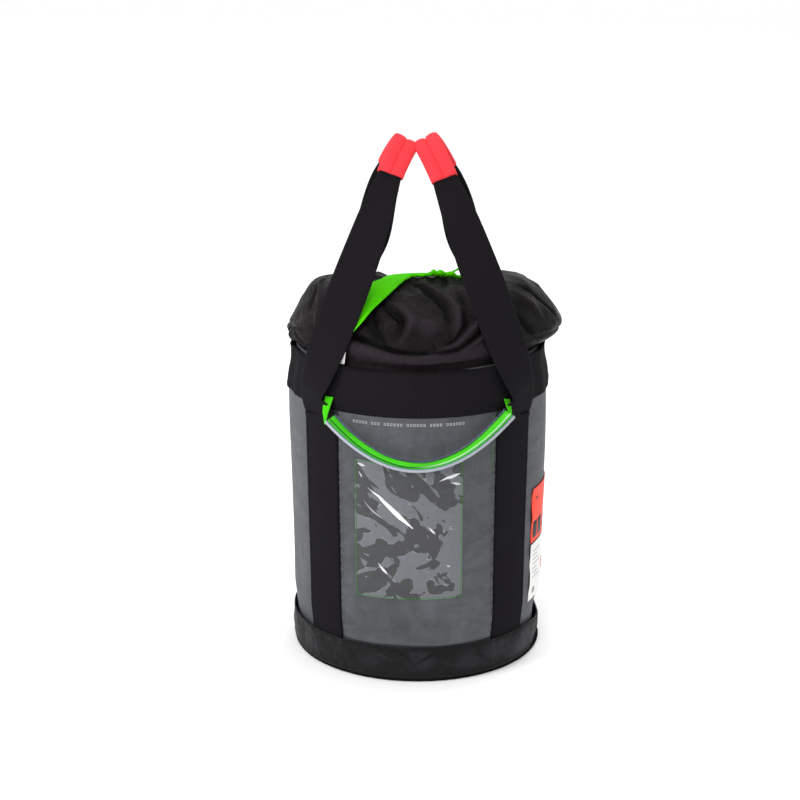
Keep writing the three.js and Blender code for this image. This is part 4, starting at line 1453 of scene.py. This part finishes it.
def build_drawcord():
    """The cord that runs round in the hem, and its two free tails that the lock grips."""
    turns = np.arange(EXIT_AZIMUTH + CORD_GAP, 361 + EXIT_AZIMUTH - CORD_GAP, 16)
    ring = [mouth_spot(azimuth, 54.3, 3.4) for azimuth in turns]
    exits = {-1: tail_route(-1)[0], 1: tail_route(1)[0]}
    cord_curve("drawcord_in_hem", rounded_path([exits[-1], *ring, exits[1]], 200))
    for name, side in (("drawcord_tail_front", 1), ("drawcord_tail_back", -1)):
        route = rounded_path(tail_route(side), 90)
        tail = cord_curve(name, route)
    dress("drawcord_knot", LOOK["cord"])
    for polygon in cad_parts["drawcord_knot"].data.polygons:
        polygon.use_smooth = True


def build_cord_lock():
    """Barrel lock: body and button are the CAD's, and the spring is a coil."""
    dress("cord_lock_body", LOOK["lock"])
    dress("cord_lock_button", LOOK["lock"])
    low, high = node_span("cord_lock_spring")
    middle = (low + high) / 2
    wire, turns = 0.45, 3.5
    radius = (high[0] - low[0]) / 2 - wire
    angle = np.linspace(0, 2 * np.pi * turns, 140)
    rise = np.linspace(low[2] + wire, high[2] - wire, len(angle))
    centres = np.stack([middle[0] + radius * np.cos(angle), middle[1] + radius * np.sin(angle), rise], -1)
    along = frames_along(centres)
    out = unit(np.stack([np.cos(angle), np.sin(angle), np.zeros(len(angle))], -1))
    ring = np.radians(np.arange(0, 360, 36))
    section = wire * np.stack([np.cos(ring), np.sin(ring)], -1)
    coil = sweep("cord_lock_coil", centres, out, np.cross(out, along), lambda i: section, LOOK["steel"])
    place_piece(coil, "cord_lock", "spring_steel", "cord_lock_spring")
    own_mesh(coil)


build_drawcord()
build_cord_lock()

# ---------------------------------------------------------------- gear loop
LOOP_ARC = {"half_chord": 122.0, "end_y": -156.0, "end_z": 379.0, "bow": 47.0, "drop": 60.0}
HOSE = {"left": 114.5, "right": 121.0, "outer": 9.5, "middle": 7.9, "deep": 6.6}


def loop_points(x):
    f = 1 - (x / LOOP_ARC["half_chord"]) ** 2
    y = LOOP_ARC["end_y"] - LOOP_ARC["bow"] * f
    z = LOOP_ARC["end_z"] - LOOP_ARC["drop"] * f
    return np.stack([x, y, z], -1)


def build_gear_loop():
    """A clear flattened hose over a folded neon strap, hung from two tabs under the handles."""
    x = np.linspace(-HOSE["left"], HOSE["right"], 140)
    centres = loop_points(x)
    along = frames_along(centres)
    face = unit(np.array([[0, -LOOP_ARC["drop"], LOOP_ARC["bow"]]]))[0]
    face = np.broadcast_to(face, centres.shape)
    down = np.cross(along, face)
    down = down * np.sign(-down[:, 2:3])
    angle = np.linspace(0, 2 * np.pi, 40, endpoint=False)
    slack = (x / HOSE["right"]) ** 2
    tubes = []
    for wall in (0, 1.2):
        wide = (HOSE["middle"] + (HOSE["outer"] - HOSE["middle"]) * slack - wall)[:, None, None]
        deep = HOSE["deep"] - wall
        tubes.append(
            centres[:, None]
            + deep * np.cos(angle)[None, :, None] * face[:, None]
            + wide * np.sin(angle)[None, :, None] * down[:, None]
        )
    hose = skin("clear_hose_tube", tubes[0], tubes[1], LOOK["hose"], True)
    # edge: the folded edges painted paler and less clear, partly the wall seen edge-on and partly a painted
    # reflection.
    lower = smooth(np.sin(angle), 0.66, 0.80)
    upper = 0.62 * smooth(-np.sin(angle), 0.80, 0.90)
    edge = np.broadcast_to(lower + upper, (len(x), len(angle))).ravel()
    paint(hose, "edge", np.concatenate([edge, edge]))
    place_piece(hose, "gear_loop", "clear_hose", "gear_loop_hose")

    twist = 0.12 * np.sin(x * 0.045) + 0.10 * np.sin(x * 0.11)
    side = down * np.cos(twist)[:, None] + face * np.sin(twist)[:, None]
    front = np.cross(along, side)
    half = HOSE["middle"] - 1.5 + (HOSE["outer"] - HOSE["middle"]) * slack
    count = 21

    def outline(i):
        section = strip_outline(half[i], 1.3, count=count)
        share = section[:, 0] / half[i]
        section[:, 1] += 1.3 * np.abs(share - 0.15) - 1.1 * np.exp(-(((share - 0.18) / 0.09) ** 2))
        return section

    web = sweep("loop_webbing_strip", centres, side, front, outline, LOOK["loop_webbing"])
    line = np.linspace(0, 1, count)
    share = np.concatenate([line[::-1], line])
    paint(web, "across", np.tile(share, len(x)))
    paint(web, "right_part", np.repeat(smooth(x, -10, 35), len(share)))
    place_piece(web, "gear_loop", "neon_webbing", "gear_loop_webbing")
    build_loop_tabs()


def build_loop_tabs():
    """Twisted ends of the neon strap, from the hose up to where the handle is sewn over them."""
    tabs = {
        "left": (
            ((-38.6, 17.5, 361), (-38.7, 16.5, 368), (-39.1, 14.0, 377), (-39.5, 10.0, 387), (-39.8, 6.0, 395)),
            (3.6, 4.6, 5.8, 6.4, 6.6),
            (38, 24, 6, -6, -10),
        ),
        "right": (
            ((39.6, 17.0, 366), (39.2, 16.0, 372), (39.4, 13.5, 379), (39.8, 10.0, 386), (40.4, 6.0, 392)),
            (4.6, 5.4, 4.6, 4.8, 5.0),
            (-50, -30, -14, 0, 8),
        ),
    }
    for name, (places, widths, twists) in tabs.items():
        spots = [list(at(a, body_radius(z) + off, z)) + [a] for a, off, z in places]
        rows = np.array([spot + [w, tw] for spot, w, tw in zip(spots, widths, twists)], float)
        fine = rounded_path(rows, 50)
        centres = fine[:, :3]
        along = frames_along(centres)
        outward = at(fine[:, 3], 1.0, 0.0)
        side = unit(np.cross(along, outward))
        outward = np.cross(side, along)
        turn = np.radians(fine[:, 5])[:, None]
        c, s = np.cos(turn), np.sin(turn)
        side, outward = side * c + outward * s, outward * c - side * s
        half = fine[:, 4]
        tab = sweep(
            f"loop_tab_{name}",
            centres,
            side,
            outward,
            lambda i, half=half: strip_outline(half[i], 0.75, curl=0.9, count=11),
            LOOK["neon_webbing"],
        )
        place_piece(tab, "bag", "neon_webbing", f"loop_anchor_{name}")


build_gear_loop()

# ---------------------------------------------------------------- handles
# One row per station of the left loop's front half, from the root up: centre of the webbing,
# half width, half thickness, turn of the width towards the front, lean of the width, in degrees.
HANDLE_ROWS = (
    ((-129.2, -124.8, 357), 30, 1.25, 46, 0),
    ((-130.2, -125.6, 368), 30, 1.25, 46, 0),
    ((-137.4, -122.0, 378), 28, 1.25, 53, 0),
    ((-141.4, -118.4, 390), 27.4, 1.25, 58, 2),
    ((-139.4, -122.9, 406), 28, 1.25, 54, 6),
    ((-130.5, -127.6, 430), 30, 1.25, 47, 12),
    ((-118, -124, 462), 30, 1.25, 38, 18),
    ((-98, -112, 514), 30, 1.25, 33, 20),
    ((-83, -100, 553), 29, 1.25, 30, 20),
    ((-61, -76, 610), 25.5, 1.5, 27, 20),
    ((-46, -52, 650), 19.5, 2.4, 16, 22),
    ((-34.5, -32, 677), 15, 3.5, 8, 25),
    ((-24, -17, 697), 15, 3.5, 4, 27),
    ((-17.0, -5, 708), 15, 3.5, 0, 28),
)
# How far the back half hangs closer to the middle than the front half: heights and distances
BACK_INSET = ((428, 462, 514, 553, 610, 650, 677), (0, 4, 14, 17, 7, 1, 0))
# The right loop's top leans towards the middle of the bag
RIGHT_LEAN = ((600, 650, 677, 710), (0, 3.0, 4.5, 5.0))


def handle_path(side):
    """Stations of a whole loop, front root to back root, sampled smoothly, for side -1 or +1."""
    rows = [list(c) + [w, h, t, lean] for c, w, h, t, lean in HANDLE_ROWS]
    front = np.array(rows, float)
    back = front[::-1].copy()
    back[:, 1] *= -1
    back[:, 5] *= -1
    back[:, 0] += np.interp(back[:, 2], *BACK_INSET)
    both = np.concatenate([front, back])
    if side > 0:
        both[:, 0] += np.interp(both[:, 2], *RIGHT_LEAN)
    both[:, 0] *= -side
    fine = rounded_path(both, 260)
    centres = fine[:, :3]
    along = frames_along(centres)
    turn, lean = np.radians(fine[:, 5]), np.radians(fine[:, 6])
    across = np.stack([-side * np.cos(turn) * np.cos(lean), -np.sin(turn), -np.cos(turn) * np.sin(lean)], -1)
    across = unit(across - np.sum(across * along, -1, keepdims=True) * along)
    return centres, across, np.cross(along, across), fine[:, 3], fine[:, 4]


def folded_outline(width, thick, fold, count=25):
    """Webbing section; fold from 0 to 1 turns it from flat into two lobes with a crease between."""
    x = np.linspace(-1, 1, count)
    edge = np.sqrt(np.clip(1 - np.abs(x) ** 10, 0, 1)) * 0.9 + 0.1
    lobes = 1 + fold * (0.10 * np.cos(np.pi * (np.abs(x) - 0.5) * 2) - 0.34 * np.exp(-((x / 0.08) ** 2)))
    height = thick * edge * lobes
    top = np.stack([x * width, height], -1)
    low = np.stack([x[::-1] * width, -(height * (1 - 0.3 * fold))[::-1]], -1)
    return np.concatenate([low, top])


GRIP_LOW = {"left_handle": 670, "right_handle": 664}


def build_handle(side, body):
    centres, across, out, width, thick = handle_path(side)
    fold = smooth(-width, -27, -13)

    def outline(i):
        return folded_outline(width[i], thick[i], fold[i])

    web = sweep(f"{body}_strap", centres, across, out, outline, LOOK["webbing"])
    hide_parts(f"{body}_webbing")
    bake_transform(web)

    inside = np.where(centres[:, 2] > GRIP_LOW[body])[0]
    pick = slice(inside[0], inside[-1] + 1)

    def sleeve(i):
        return folded_outline(18.2, 6.6, 0.9, 49)

    grip = sweep(f"{body}_sleeve", centres[pick], across[pick], out[pick], sleeve, LOOK["coral"])
    place_piece(grip, body, "coral_sleeve", f"{body}_grip")


build_handle(-1, "left_handle")
build_handle(1, "right_handle")
